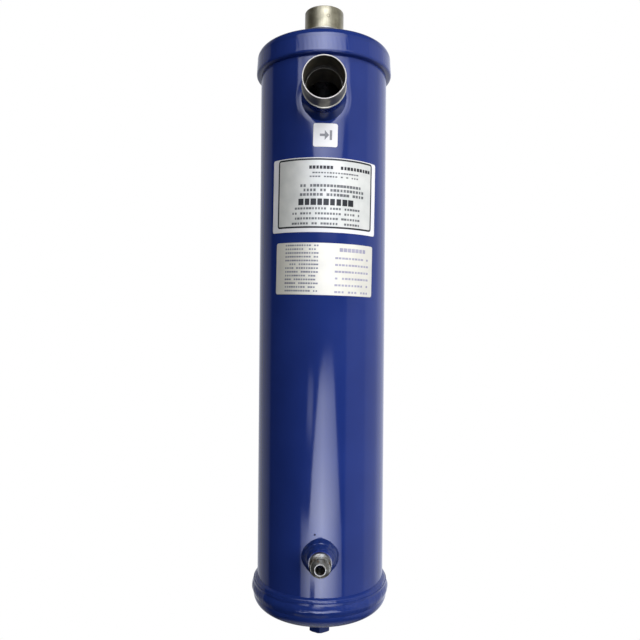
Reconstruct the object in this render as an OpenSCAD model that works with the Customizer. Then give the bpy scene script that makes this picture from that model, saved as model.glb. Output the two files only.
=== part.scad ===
// Helical oil separator for a refrigeration discharge line.
// The vessel stands on its mounting boss: the origin is the centre of the boss's end face,
// +Z runs up the vessel, and the inlet and the oil return both face the front, along -Y.

/* [Shell] */
// Outside diameter of the shell tube
shell_od = 101.6; // [96:0.1:112]
// Wall of the shell tube
shell_wall = 3; // [2:0.1:4]
// Cut length of the shell tube
shell_length = 428.5; // [405:0.5:480]

/* [End caps] */
// Sheet that both caps are pressed from
cap_wall = 3; // [2:0.1:4]
// Straight skirt that goes over the shell
cap_skirt = 12; // [9:0.5:18]
// Outside radius of the knuckle
cap_knuckle = 8; // [6:0.5:10]
// Outside radius of the dished crown
cap_crown = 220; // [150:1:300]
// How far the bead round each cap's edge stands out from the skirt
cap_bead_rise = 1.2; // [0.6:0.05:2]
// How far the bead runs up the skirt
cap_bead_lap = 7; // [5:0.5:9]
// Reach of the top bead down the shell
top_bead_reach = 1.6; // [1:0.1:5]
// Reach of the bottom bead up the shell
bottom_bead_reach = 3.5; // [1:0.1:5]

/* [Pipe stubs] */
// Bore of the brazing socket, for 28 mm pipe
socket_bore = 28.7; // [27:0.1:31]
// Wall of the socket
socket_wall = 1.35; // [1:0.05:2]
// Depth of the socket
socket_depth = 17; // [12:0.5:20]
// Outside diameter of the stub behind its socket
stub_od = 28.6; // [26:0.1:29]
// Wall of the stub behind its socket
stub_wall = 1.4; // [1:0.1:2]
// Inlet axis below the top end of the shell
inlet_drop = 43.1; // [42:0.1:55]
// Inlet rim in front of the shell
inlet_projection = 36; // [28:0.5:45]
// Outlet rim above the crown of the top cap
outlet_projection = 28.5; // [25:0.5:40]
// Leg of the weld round the inlet
inlet_weld_leg = 5.7; // [3:0.1:6.5]
// Leg of the weld round the outlet
outlet_weld_leg = 4; // [2:0.1:5]

/* [Oil return] */
// Axis of the oil return above the bottom end of the shell
oil_rise = 45.5; // [44:0.1:60]
// Major diameter of the flare thread, 5/8 inch
flare_thread_d = 15.875; // [14:0.005:17]
// Length of the flare thread
flare_thread_length = 8; // [6:0.5:12]
// Bore of the flare fitting
flare_bore = 7.1; // [5:0.1:8]
// Diameter of the flare's tip
flare_tip_d = 9.6; // [9:0.1:11]
// Diameter of the plain neck behind the thread
flare_neck_d = 18; // [17.5:0.1:22]
// Plain neck in front of the shell
flare_neck_length = 12; // [8:0.5:14]
// Leg of the weld round the neck
oil_weld_leg = 5.3; // [3:0.1:6]

/* [Mounting boss] */
// Hexagon across flats
boss_flats = 16; // [14:0.5:20]
// Boss below the crown of the bottom cap
boss_length = 19; // [16:0.1:30]
// Tapping bore for an M10 thread
boss_bore = 8.5; // [6.8:0.1:9]
// Depth of the tapped hole
boss_bore_depth = 15; // [10:0.5:17]
// Leg of the weld round the boss
boss_weld_leg = 3; // [2:0.1:5]

/* [Helix and screens] */
// Rise of one turn of the flight
helix_pitch = 48; // [36:1:60]
// Height of the flight
helix_height = 160; // [120:1:170]
// Sheet of the flight
helix_sheet = 1.6; // [1:0.1:3]
// Outside diameter of the centre tube
centre_tube_od = 31.8; // [31.4:0.1:36]
// Sheet of the wall screen
wall_screen_sheet = 1.2; // [0.8:0.1:2]
// Holes in one ring of the wall screen
wall_screen_columns = 12; // [8:1:14]
// Rings of holes in the wall screen
wall_screen_rows = 9; // [5:1:10]
// Diameter of the wall screen's holes
wall_screen_hole = 9; // [5:0.5:11]
// Sheet of the outlet screen
outlet_screen_sheet = 1; // [0.8:0.1:1.6]
// Part of the outlet screen below the centre tube
outlet_screen_drop = 32; // [24:1:40]
// Diameter of the outlet screen's holes
outlet_screen_hole = 4; // [2.5:0.1:4.5]
// Sheet of the baffle
baffle_sheet = 1.5; // [1:0.1:2.5]
// Height of the baffle's cone
baffle_rise = 12; // [8:0.5:16]
// Rim of the baffle above the bottom end of the shell
baffle_level = 100; // [98:1:120]

/* [Float valve] */
// Diameter of the float
float_d = 44; // [40:0.5:48]
// Sheet of the float
float_sheet = 0.6; // [0.4:0.1:1.2]
// Gap between the float and the shell with the arm level
float_gap = 2.8; // [2:0.1:5]
// Slope of the arm with the valve shut
arm_droop = 12; // [8:0.5:14]
// Rod of the float arm
arm_rod_d = 4; // [3:0.1:5]
// Needle diameter
needle_d = 5; // [4.6:0.1:5.4]
// Bore of the valve seat
orifice_d = 2.5; // [1.5:0.1:3]
// Pivot above the needle's axis
pivot_rise = 9; // [8.6:0.1:11]
// Pivot pin diameter
pivot_d = 3; // [2.4:0.1:3.4]

/* [Magnet] */
// Outside diameter of the ring magnet
magnet_od = 40; // [30:1:50]
// Bore of the ring magnet
magnet_bore = 20; // [16:1:24]
// Height of the ring magnet
magnet_height = 6; // [4:0.5:10]

/* [Labels] */
// Thickness of the labels
label_sheet = 0.2; // [0.1:0.05:0.4]
// Corner radius of the labels
label_corner = 1.6; // [0.5:0.1:3]
// Width of the inlet label, round the shell
inlet_label_w = 18; // [12:0.1:22]
// Height of the inlet label
inlet_label_h = 17.3; // [10:0.1:18]
// Width of the rating label, round the shell
rating_label_w = 87; // [60:0.5:95]
// Height of the rating label
rating_label_h = 56; // [40:0.5:60]
// Width of the notice label, round the shell
notice_label_w = 80; // [60:0.5:95]
// Height of the notice label
notice_label_h = 38.4; // [30:0.1:44]

/* [Hidden] */
$fn = 96;

// Fits
fit_gap = 0.1;
running_gap = 0.05;
weld_gap = 0.03;
label_gap = 0.1;
through = 1;

// Colours
paint_blue = [0.11, 0.16, 0.46];
bare_steel = [0.62, 0.60, 0.55];
plated_steel = [0.70, 0.69, 0.64];
screen_steel = [0.66, 0.67, 0.68];
brass = [0.78, 0.62, 0.30];
label_white = [0.93, 0.93, 0.92];
label_silver = [0.80, 0.81, 0.80];
magnet_black = [0.16, 0.16, 0.17];

// Shell
shell_or = shell_od / 2;
shell_ir = shell_or - shell_wall;

// Dished caps, measured from the edge of the skirt towards the crown
cap_or = shell_or + fit_gap + cap_wall;
cap_bead_round = 2;
cap_bead_level = 1;
crown_sink = 0.05;
crown_sides = 1440;
crown_centre = cap_skirt - sqrt(pow(cap_crown - cap_knuckle, 2) - pow(cap_or - cap_knuckle, 2)) - crown_sink;
cap_height = crown_centre + cap_crown;
function crown_level(r) = crown_centre + sqrt(pow(cap_crown, 2) - r * r);
function crown_inside(r) = crown_centre + sqrt(pow(cap_crown - cap_wall, 2) - r * r);

// Levels above the end face of the boss
bottom_skirt_z = boss_length + cap_height;
shell_bottom_z = bottom_skirt_z - cap_skirt;
shell_top_z = shell_bottom_z + shell_length;
top_skirt_z = shell_top_z - cap_skirt;
inlet_z = shell_top_z - inlet_drop;
oil_z = shell_bottom_z + oil_rise;

// Pipe stubs
stub_or = stub_od / 2;
stub_ir = stub_or - stub_wall;
socket_ir = socket_bore / 2;
socket_or = socket_ir + socket_wall;
socket_taper = 2.2;
socket_shoulder = 1.2;
rim_chamfer = 0.3;
inlet_reach_in = 3;
outlet_reach_in = 24;
inlet_rim = shell_or + inlet_projection;
inlet_inner_end = shell_ir - inlet_reach_in;
outlet_rim_z = top_skirt_z + cap_height + outlet_projection;
outlet_inner_end_z = top_skirt_z + cap_height - outlet_reach_in;

// Centre tube, helix and screens, from the top down
centre_tube_or = centre_tube_od / 2;
centre_tube_ir = stub_or + fit_gap;
centre_tube_top_gap = 1.5;
centre_tube_top_z = top_skirt_z + crown_inside(centre_tube_or) - centre_tube_top_gap;
helix_inlet_gap = 4.6;
helix_top_z = inlet_z - socket_or - helix_inlet_gap;
helix_bottom_z = helix_top_z - helix_height;
helix_gap = 0.15;
helix_steps_per_turn = 36;
wall_screen_or = shell_ir - fit_gap;
wall_screen_ir = wall_screen_or - wall_screen_sheet;
wall_screen_above = 2;
wall_screen_below = 10;
wall_screen_top_z = helix_top_z + wall_screen_above;
wall_screen_bottom_z = helix_bottom_z - wall_screen_below;
wall_screen_border = 12;
outlet_screen_or = centre_tube_or + fit_gap + outlet_screen_sheet;
outlet_screen_overlap = 6;
outlet_screen_columns = 12;
outlet_screen_rows = 5;
centre_tube_below = 2;
centre_tube_bottom_z = helix_bottom_z - outlet_screen_overlap - centre_tube_below;
outlet_screen_bottom_z = centre_tube_bottom_z - outlet_screen_drop;

// Baffle
baffle_z = shell_bottom_z + baffle_level;
baffle_rim = 6;
baffle_or = shell_ir - fit_gap;
baffle_notches = 8;
baffle_notch_w = 10;
baffle_notch_depth = 3;

// Oil return and float valve: s runs from the vessel's axis to the front
flare_tip_length = 4;
flare_neck_end = shell_or + flare_neck_length;
flare_thread_end = flare_neck_end + flare_thread_length;
flare_tip_end = flare_thread_end + flare_tip_length;
flare_thread_depth = 1.2;
flare_thread_chamfer = 1;
flare_root_r = flare_thread_d / 2 - flare_thread_depth;
valve_wall_gap = 1.8;
valve_outer_s = shell_ir - valve_wall_gap;
spigot_d = 11;
spigot_length = 8;
valve_body_r = 10;
valve_body_length = 22;
valve_inner_s = valve_outer_s - valve_body_length;
seat_d = 8;
seat_outer_s = valve_outer_s - spigot_length;
seat_length = 5;
seat_inner_s = seat_outer_s - seat_length;
seat_cone = 1;
needle_tip = 2;
needle_tip_gap = 0.45;
seal_gap = 0.1;
pivot_offset = 7;
pivot_s = valve_inner_s - pivot_offset;
needle_tail = 3;
needle_tail_s = pivot_s - needle_tail;
needle_slot_w = 3;
finger_d = 2.6;
finger_rise = 1.2;
finger_gap = 0.2;
needle_slot_floor = finger_rise - finger_d / 2 - finger_gap;
drain_hole_d = 4;
arm_half_w = 3.8;
arm_boss_r = 3;
leg_w = 4;
leg_sheet = 1.4;
ear_gap = 0.3;
ear_sheet = 3;
ear_r = 5;
ear_root = 5;
ear_inner_x = arm_half_w + ear_gap;
ear_outer_x = ear_inner_x + ear_sheet;
pin_head_r = 2.6;
pin_head = 1.2;
pin_tail = 2.4;
clip_sheet = 0.6;
clip_r = 2.8;
pivot_r = pivot_d / 2;
clip_groove = 0.4;
clip_groove_r = pivot_r - clip_groove;
float_r = float_d / 2;
arm_length = shell_ir - float_gap - float_r + pivot_s;
float_neck_wall = 2;
float_neck_r = arm_rod_d / 2 + float_neck_wall;
float_neck = 4;
float_socket_depth = 3;
arm_rod_end = arm_length - float_r - float_neck + float_socket_depth;

// Magnet
magnet_z = bottom_skirt_z - crown_inside(magnet_od / 2) + running_gap;

// Mounting boss
boss_spigot_r = 6;
boss_corner_r = boss_flats / 2 / cos(30);
boss_chamfer = 0.8;

// Labels, with the angle that each is turned to the right and how far it is tilted
inlet_label_gap = 0.3;
label_space = 7.4;
cut_step = 0.02;
inlet_label_z = inlet_z - stub_or - inlet_weld_leg - inlet_label_gap - inlet_label_h / 2;
rating_label_z = inlet_label_z - inlet_label_h / 2 - label_space - rating_label_h / 2;
notice_label_z = rating_label_z - rating_label_h / 2 - label_space - notice_label_h / 2;
inlet_label_turn = 1.6;
rating_label_turn = 1.5;
notice_label_turn = 2.1;
inlet_label_tilt = -1;
rating_label_tilt = -1;
notice_label_tilt = -1.2;

// A shape built up its own Z axis, turned to face the front at a height
module facing_front(height) {
    translate([0, 0, height]) rotate([90, 0, 0]) children();
}

// A shape built on a cap's own axis, from its skirt edge towards its crown
module on_top_cap() {
    translate([0, 0, top_skirt_z]) children();
}

module on_bottom_cap() {
    translate([0, 0, bottom_skirt_z]) mirror([0, 0, 1]) children();
}

// Shell tube, with the holes that the inlet and the oil return pass through
module shell() {
    color(paint_blue) difference() {
        translate([0, 0, shell_bottom_z]) cylinder(r = shell_or, h = shell_length);
        translate([0, 0, shell_bottom_z - through]) cylinder(r = shell_ir, h = shell_length + 2 * through);
        facing_front(inlet_z) cylinder(r = stub_or + running_gap, h = inlet_rim);
        facing_front(oil_z) cylinder(d = flare_neck_d + 2 * running_gap, h = flare_neck_end);
    }
}

// Half section of a dished end: skirt, knuckle and crown
module dished_section(radius, knuckle, crown, below) {
    join_r = (radius - knuckle) * crown / (crown - knuckle);
    intersection() {
        union() {
            translate([0, -below]) square([radius, cap_skirt + below]);
            translate([0, -below]) square([join_r, cap_height + below + through]);
            translate([radius - knuckle, cap_skirt]) circle(knuckle);
        }
        translate([0, crown_centre]) circle(crown, $fn = crown_sides);
    }
}

module dished_cap(hole_r) {
    color(paint_blue) rotate_extrude() difference() {
        dished_section(cap_or, cap_knuckle, cap_crown, 0);
        dished_section(cap_or - cap_wall, cap_knuckle - cap_wall, cap_crown - cap_wall, through);
        square([hole_r, 2 * cap_height]);
    }
}

module top_cap() {
    on_top_cap() dished_cap(stub_or + running_gap);
}

module bottom_cap() {
    on_bottom_cap() dished_cap(boss_spigot_r + running_gap);
}

// Bead that closes the edge of a cap to the shell: from its reach down the shell
// out under the skirt's edge, round the corner and up the skirt
module edge_bead(reach) {
    crest_r = cap_or + cap_bead_rise;
    color(paint_blue) rotate_extrude() difference() {
        union() {
            translate([crest_r - cap_bead_round, cap_bead_level]) circle(cap_bead_round);
            polygon([
                [shell_or - through, -reach],
                [shell_or, -reach],
                [crest_r - cap_bead_round, cap_bead_level - cap_bead_round],
                [crest_r, cap_bead_level],
                [cap_or, cap_bead_lap],
                [cap_or - through, cap_bead_lap],
            ]);
        }
        translate([0, -cap_skirt]) square([shell_or, 2 * cap_skirt]);
        square([cap_or, cap_skirt]);
    }
}

module top_weld() {
    on_top_cap() edge_bead(top_bead_reach);
}

module bottom_weld() {
    on_bottom_cap() edge_bead(bottom_bead_reach);
}

// Steel stub, its end opened out into a brazing socket
module socket_stub(inner_end, rim) {
    shoulder = rim - socket_depth;
    color(bare_steel) rotate_extrude() polygon([
        [stub_ir, inner_end],
        [stub_or, inner_end],
        [stub_or, shoulder - socket_taper],
        [socket_or, shoulder],
        [socket_or, rim - rim_chamfer],
        [socket_or - rim_chamfer, rim],
        [socket_ir + rim_chamfer, rim],
        [socket_ir, rim - rim_chamfer],
        [socket_ir, shoulder],
        [stub_ir, shoulder - socket_shoulder],
    ]);
}

module inlet_stub() {
    facing_front(inlet_z) socket_stub(inlet_inner_end, inlet_rim);
}

module outlet_stub() {
    socket_stub(outlet_inner_end_z, outlet_rim_z);
}

// How far in front of the vessel's axis the shell lies, a distance x to one side of it
function shell_front(x) = sqrt(shell_or * shell_or - x * x);

// One section of a weld that follows the curve where a round port leaves the shell.
// It runs down the face of the weld, then back to the port along the shell.
saddle_steps = 64;
saddle_face_steps = 6;
saddle_foot_steps = 4;
saddle_hollow = 0.4;
function saddle_level(r, angle) = shell_front(r * cos(angle)) + weld_gap;
function saddle_face(t, low, leg, angle) = let (
        head = [low, saddle_level(low, angle) + leg],
        foot = [low + leg, saddle_level(low + leg, angle)],
        corner = [low, saddle_level(low, angle)],
        pull = saddle_hollow * corner + (1 - saddle_hollow) * (head + foot) / 2
    ) (1 - t) * (1 - t) * head + 2 * t * (1 - t) * pull + t * t * foot;
function saddle_section(low, leg, angle) = concat(
    [for (i = [0 : saddle_face_steps]) saddle_face(i / saddle_face_steps, low, leg, angle)],
    [for (i = [1 : saddle_foot_steps])
        let (r = low + leg * (1 - i / saddle_foot_steps)) [r, saddle_level(r, angle)]]
);

module saddle_weld(port_r, leg) {
    ring = saddle_face_steps + saddle_foot_steps + 1;
    low = port_r + weld_gap;
    points = [for (step = [0 : saddle_steps - 1])
        let (angle = 360 * step / saddle_steps)
        for (p = saddle_section(low, leg, angle)) [p[0] * cos(angle), p[0] * sin(angle), p[1]]];
    function corner(step, i) = (step % saddle_steps) * ring + i % ring;
    faces = [for (step = [0 : saddle_steps - 1], i = [0 : ring - 1], half = [0, 1]) half == 0
        ? [corner(step, i), corner(step + 1, i), corner(step + 1, i + 1)]
        : [corner(step, i), corner(step + 1, i + 1), corner(step, i + 1)]];
    color(paint_blue) polyhedron(points, faces);
}

module inlet_weld() {
    facing_front(inlet_z) saddle_weld(stub_or, inlet_weld_leg);
}

module oil_return_weld() {
    facing_front(oil_z) saddle_weld(flare_neck_d / 2, oil_weld_leg);
}

// Fillet of weld on a cap's crown, round the post that its child describes
module crown_weld(post_r, leg) {
    color(paint_blue) difference() {
        rotate_extrude() difference() {
            polygon([
                [0, crown_level(0) - leg],
                [post_r + leg, crown_level(post_r + leg)],
                [post_r, crown_level(post_r) + leg],
                [0, crown_level(post_r) + leg],
            ]);
            translate([0, crown_centre]) circle(cap_crown, $fn = crown_sides);
        }
        children();
    }
}

module outlet_weld() {
    on_top_cap() crown_weld(stub_or, outlet_weld_leg) cylinder(r = stub_or + weld_gap, h = 2 * cap_height);
}

// Male flare fitting: spigot, plain neck, thread and coned tip
module oil_return_fitting() {
    color(plated_steel) facing_front(oil_z) rotate_extrude() polygon([
        [flare_bore / 2, seat_outer_s],
        [spigot_d / 2, seat_outer_s],
        [spigot_d / 2, valve_outer_s],
        [flare_neck_d / 2, valve_outer_s],
        [flare_neck_d / 2, flare_neck_end],
        [flare_thread_d / 2, flare_neck_end],
        [flare_thread_d / 2, flare_thread_end - flare_thread_chamfer],
        [flare_root_r, flare_thread_end],
        [flare_root_r, flare_tip_end - flare_root_r + flare_tip_d / 2],
        [flare_tip_d / 2, flare_tip_end],
        [flare_bore / 2, flare_tip_end],
    ]);
}

// Hexagon boss with a tapped hole, located in the bottom cap by a spigot
module boss_hexagon(grow, h) {
    rotate([0, 0, 30]) cylinder(r = boss_corner_r + grow, h = h, $fn = 6);
}

module mounting_boss() {
    root = boss_length - weld_gap;
    color(paint_blue) difference() {
        union() {
            intersection() {
                boss_hexagon(0, root);
                rotate_extrude() polygon([
                    [0, 0],
                    [boss_corner_r - boss_chamfer, 0],
                    [boss_corner_r + boss_chamfer, 2 * boss_chamfer * tan(30)],
                    [boss_corner_r + boss_chamfer, root],
                    [0, root],
                ]);
            }
            cylinder(r = boss_spigot_r, h = boss_length + cap_wall);
        }
        translate([0, 0, -through]) cylinder(d = boss_bore, h = boss_bore_depth + through);
    }
}

module mounting_boss_weld() {
    on_bottom_cap() crown_weld(boss_corner_r, boss_weld_leg) boss_hexagon(weld_gap, 2 * cap_height);
}

// Label wrapped on the front of the shell, with round corners
module rounded_rectangle(w, h, r) {
    square([w - 2 * r, h], center = true);
    square([w, h - 2 * r], center = true);
    for (x = [-1, 1], y = [-1, 1]) translate([x * (w / 2 - r), y * (h / 2 - r)]) circle(r);
}

module wrapped_label(w, h, z, turn, tilt) {
    span = round(shell_od * sin(w / shell_od * 180 / PI) / cut_step) * cut_step;
    difference() {
        intersection() {
            rotate([0, 0, turn]) facing_front(z) rotate([0, 0, tilt])
                linear_extrude(shell_od) rounded_rectangle(span, h, label_corner);
            translate([0, 0, z - h]) cylinder(r = shell_or + label_gap + label_sheet, h = 2 * h);
        }
        translate([0, 0, z - 2 * h]) cylinder(r = shell_or + label_gap, h = 4 * h);
    }
}

module inlet_label() {
    color(label_white)
        wrapped_label(inlet_label_w, inlet_label_h, inlet_label_z, inlet_label_turn, inlet_label_tilt);
}

module rating_label() {
    color(label_silver)
        wrapped_label(rating_label_w, rating_label_h, rating_label_z, rating_label_turn, rating_label_tilt);
}

module notice_label() {
    color(label_white)
        wrapped_label(notice_label_w, notice_label_h, notice_label_z, notice_label_turn, notice_label_tilt);
}

// Tube that carries the clean gas up to the outlet, sleeved over the outlet stub
module centre_tube() {
    color(screen_steel) difference() {
        translate([0, 0, centre_tube_bottom_z])
            cylinder(r = centre_tube_or, h = centre_tube_top_z - centre_tube_bottom_z);
        translate([0, 0, centre_tube_bottom_z - through])
            cylinder(r = centre_tube_ir, h = centre_tube_top_z - centre_tube_bottom_z + 2 * through);
    }
}

// Helical flight: a strip between the tube and the wall screen, carried round as it rises
module helix_flight() {
    turns = helix_height / helix_pitch;
    steps = ceil(turns * helix_steps_per_turn);
    low = centre_tube_or + helix_gap;
    high = wall_screen_ir - helix_gap;
    section = [[low, 0], [high, 0], [high, helix_sheet], [low, helix_sheet]];
    sides = len(section);
    points = [for (step = [0 : steps])
        let (angle = 360 * turns * step / steps, lift = (helix_height - helix_sheet) * step / steps)
        for (p = section) [p[0] * cos(angle), p[0] * sin(angle), p[1] + lift]];
    function corner(step, i) = step * sides + i % sides;
    start_edge = [for (i = [sides - 1 : -1 : 0]) corner(0, i)];
    end_edge = [for (i = [0 : sides - 1]) corner(steps, i)];
    strip = [for (step = [0 : steps - 1], i = [0 : sides - 1], half = [0, 1]) half == 0
        ? [corner(step, i), corner(step, i + 1), corner(step + 1, i + 1)]
        : [corner(step, i), corner(step + 1, i + 1), corner(step + 1, i)]];
    color(screen_steel) translate([0, 0, helix_bottom_z])
        polyhedron(points, concat([start_edge, end_edge], strip));
}

// Perforated screen that lines the shell round the helix
module wall_screen() {
    height = wall_screen_top_z - wall_screen_bottom_z;
    row_pitch = (height - 2 * wall_screen_border) / (wall_screen_rows - 1);
    color(screen_steel) difference() {
        translate([0, 0, wall_screen_bottom_z]) cylinder(r = wall_screen_or, h = height);
        translate([0, 0, wall_screen_bottom_z - through]) cylinder(r = wall_screen_ir, h = height + 2 * through);
        for (row = [0 : wall_screen_rows - 1], column = [0 : wall_screen_columns - 1])
            translate([0, 0, wall_screen_bottom_z + wall_screen_border + row * row_pitch])
                rotate([0, 90, (column + row % 2 / 2) * 360 / wall_screen_columns])
                    translate([0, 0, wall_screen_ir - wall_screen_hole / 2])
                        cylinder(d = wall_screen_hole, h = wall_screen_hole);
    }
}

// Perforated cup on the lower end of the centre tube
module outlet_screen() {
    height = outlet_screen_drop + outlet_screen_overlap;
    row_pitch = (outlet_screen_drop - 2 * outlet_screen_hole) / outlet_screen_rows;
    color(screen_steel) translate([0, 0, outlet_screen_bottom_z]) difference() {
        cylinder(r = outlet_screen_or, h = height);
        translate([0, 0, outlet_screen_sheet]) cylinder(r = outlet_screen_or - outlet_screen_sheet, h = height);
        for (row = [1 : outlet_screen_rows], column = [0 : outlet_screen_columns - 1])
            translate([0, 0, row * row_pitch])
                rotate([0, 90, (column + row % 2 / 2) * 360 / outlet_screen_columns])
                    translate([0, 0, outlet_screen_or - outlet_screen_hole])
                        cylinder(d = outlet_screen_hole, h = 2 * outlet_screen_hole);
    }
}

// Coned baffle over the oil sump, its rim notched to let the oil drain down the wall
module baffle() {
    color(screen_steel) translate([0, 0, baffle_z]) difference() {
        rotate_extrude() polygon([
            [baffle_or, -baffle_rim],
            [baffle_or, 0],
            [0, baffle_rise],
            [0, baffle_rise - baffle_sheet],
            [baffle_or - baffle_sheet, -baffle_sheet],
            [baffle_or - baffle_sheet, -baffle_rim],
        ]);
        for (i = [0 : baffle_notches - 1]) rotate([0, 0, (i + 0.5) * 360 / baffle_notches])
            translate([baffle_or - baffle_notch_depth, -baffle_notch_w / 2, -baffle_rim - through])
                cube([2 * baffle_notch_depth, baffle_notch_w, 2 * baffle_rim]);
    }
}

// Valve body inside the shell, with the two ears that hold the pivot
module pivot_ear() {
    rotate([0, -90, 0]) linear_extrude(ear_sheet) {
        translate([pivot_s, pivot_rise]) circle(ear_r);
        translate([pivot_s, pivot_rise - ear_r]) square([pivot_offset + ear_root, 2 * ear_r]);
    }
}

module valve_body() {
    color(brass) facing_front(oil_z) difference() {
        union() {
            translate([0, 0, valve_inner_s]) cylinder(r = valve_body_r, h = valve_body_length);
            for (x = [-ear_inner_x, ear_outer_x]) translate([x, 0, 0]) pivot_ear();
        }
        translate([0, 0, seat_outer_s]) cylinder(d = spigot_d + 2 * running_gap, h = valve_body_length);
        translate([0, 0, seat_inner_s]) cylinder(d = seat_d + 2 * running_gap, h = valve_body_length);
        translate([0, 0, valve_inner_s - through])
            cylinder(d = needle_d + 2 * running_gap, h = valve_body_length);
        translate([-2 * valve_body_r, 0, seat_inner_s - drain_hole_d / 2]) rotate([0, 90, 0])
            cylinder(d = drain_hole_d, h = 4 * valve_body_r);
        translate([-2 * valve_body_r, pivot_rise, pivot_s]) rotate([0, 90, 0])
            cylinder(d = pivot_d + 2 * running_gap, h = 4 * valve_body_r);
    }
}

// Seat insert, coned where the needle closes it
module valve_seat() {
    color(plated_steel) facing_front(oil_z) rotate_extrude() polygon([
        [orifice_d / 2 + seat_cone, seat_inner_s],
        [seat_d / 2, seat_inner_s],
        [seat_d / 2, seat_outer_s],
        [orifice_d / 2, seat_outer_s],
        [orifice_d / 2, seat_inner_s + seat_cone],
    ]);
}

// Needle, with a cross slot in its tail for the arm's finger
module needle() {
    tip_r = orifice_d / 2 - needle_tip_gap;
    shoulder_s = seat_inner_s - (needle_d / 2 - orifice_d / 2 - seat_cone) - seal_gap;
    color(plated_steel) facing_front(oil_z) difference() {
        rotate_extrude() polygon([
            [0, needle_tail_s],
            [needle_d / 2, needle_tail_s],
            [needle_d / 2, shoulder_s],
            [tip_r, shoulder_s + needle_d / 2 - tip_r],
            [tip_r, shoulder_s + needle_d / 2 - tip_r + needle_tip],
            [0, shoulder_s + needle_d / 2 - tip_r + needle_tip],
        ]);
        translate([-needle_d, needle_slot_floor, pivot_s - needle_slot_w / 2])
            cube([2 * needle_d, needle_d, needle_slot_w]);
    }
}

// Pivot pin with its head, grooved for the clip on the other end
module pivot_pin() {
    groove_x = ear_outer_x + running_gap;
    color(plated_steel) facing_front(oil_z) translate([0, pivot_rise, pivot_s]) rotate([0, 90, 0])
        rotate_extrude() polygon([
            [0, -ear_outer_x - running_gap - pin_head],
            [pin_head_r, -ear_outer_x - running_gap - pin_head],
            [pin_head_r, -ear_outer_x - running_gap],
            [pivot_r, -ear_outer_x - running_gap],
            [pivot_r, groove_x],
            [clip_groove_r, groove_x],
            [clip_groove_r, groove_x + clip_sheet + 2 * running_gap],
            [pivot_r, groove_x + clip_sheet + 2 * running_gap],
            [pivot_r, ear_outer_x + pin_tail],
            [0, ear_outer_x + pin_tail],
        ]);
}

// Open clip that sits in the pin's groove
module pivot_clip() {
    color(plated_steel) facing_front(oil_z)
        translate([ear_outer_x + 2 * running_gap, pivot_rise, pivot_s]) rotate([0, 90, 0]) difference() {
            cylinder(r = clip_r, h = clip_sheet);
            translate([0, 0, -through]) cylinder(r = clip_groove_r + running_gap, h = 3 * through);
            translate([-clip_groove_r, -2 * clip_r, -through]) cube([2 * clip_groove_r, 2 * clip_r, 3 * through]);
        }
}

// Frame of the float: its origin on the pivot, +Y along the arm
module on_float_arm() {
    translate([0, -pivot_s, oil_z + pivot_rise]) rotate([-arm_droop, 0, 0]) children();
}

// Arm: a boss on the pivot, the rod out to the float, and a leg down to the needle
module float_arm() {
    finger_drop = pivot_rise - finger_rise;
    color(brass) difference() {
        union() {
            translate([-arm_half_w, -pivot_s, oil_z + pivot_rise]) rotate([0, 90, 0])
                cylinder(r = arm_boss_r, h = 2 * arm_half_w);
            on_float_arm() rotate([-90, 0, 0]) cylinder(d = arm_rod_d, h = arm_rod_end);
            translate([-leg_w / 2, -pivot_s - leg_sheet / 2, oil_z + finger_rise])
                cube([leg_w, leg_sheet, finger_drop]);
            translate([-leg_w / 2, -pivot_s, oil_z + finger_rise]) rotate([0, 90, 0])
                cylinder(d = finger_d, h = leg_w);
        }
        translate([-2 * arm_half_w, -pivot_s, oil_z + pivot_rise]) rotate([0, 90, 0])
            cylinder(d = pivot_d + 2 * running_gap, h = 4 * arm_half_w);
    }
}

// Hollow float, with the neck that the arm's rod is brazed into
module float_ball() {
    color(screen_steel) on_float_arm() translate([0, arm_length, 0]) difference() {
        union() {
            sphere(float_r);
            rotate([90, 0, 0]) cylinder(r = float_neck_r, h = float_r + float_neck);
        }
        sphere(float_r - float_sheet);
        translate([0, -float_r - float_neck + float_socket_depth, 0]) rotate([90, 0, 0])
            cylinder(d = arm_rod_d + 2 * running_gap, h = float_r);
    }
}

// Ring magnet in the bowl of the bottom cap
module magnet() {
    color(magnet_black) translate([0, 0, magnet_z]) difference() {
        cylinder(d = magnet_od, h = magnet_height);
        translate([0, 0, -through]) cylinder(d = magnet_bore, h = magnet_height + 2 * through);
    }
}

shell();
top_cap();
bottom_cap();
top_weld();
bottom_weld();
inlet_stub();
inlet_weld();
outlet_stub();
outlet_weld();
oil_return_fitting();
oil_return_weld();
mounting_boss();
mounting_boss_weld();
inlet_label();
rating_label();
notice_label();
centre_tube();
helix_flight();
wall_screen();
outlet_screen();
baffle();
valve_body();
valve_seat();
needle();
pivot_pin();
pivot_clip();
float_arm();
float_ball();
magnet();
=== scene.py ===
# %% [markdown]
# # A helical oil separator in Blender
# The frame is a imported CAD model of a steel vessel, about half a metre tall, that takes the oil
# out of refrigerant gas. The solids carry the sizes and the motion. This lesson gives them their
# looks: gloss enamel, bare steel, welds, threads and stickers, each made where the CAD says it is.

# %% Load the frame
import math
import bmesh
import bpy
from mathutils import Matrix, Vector


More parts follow.
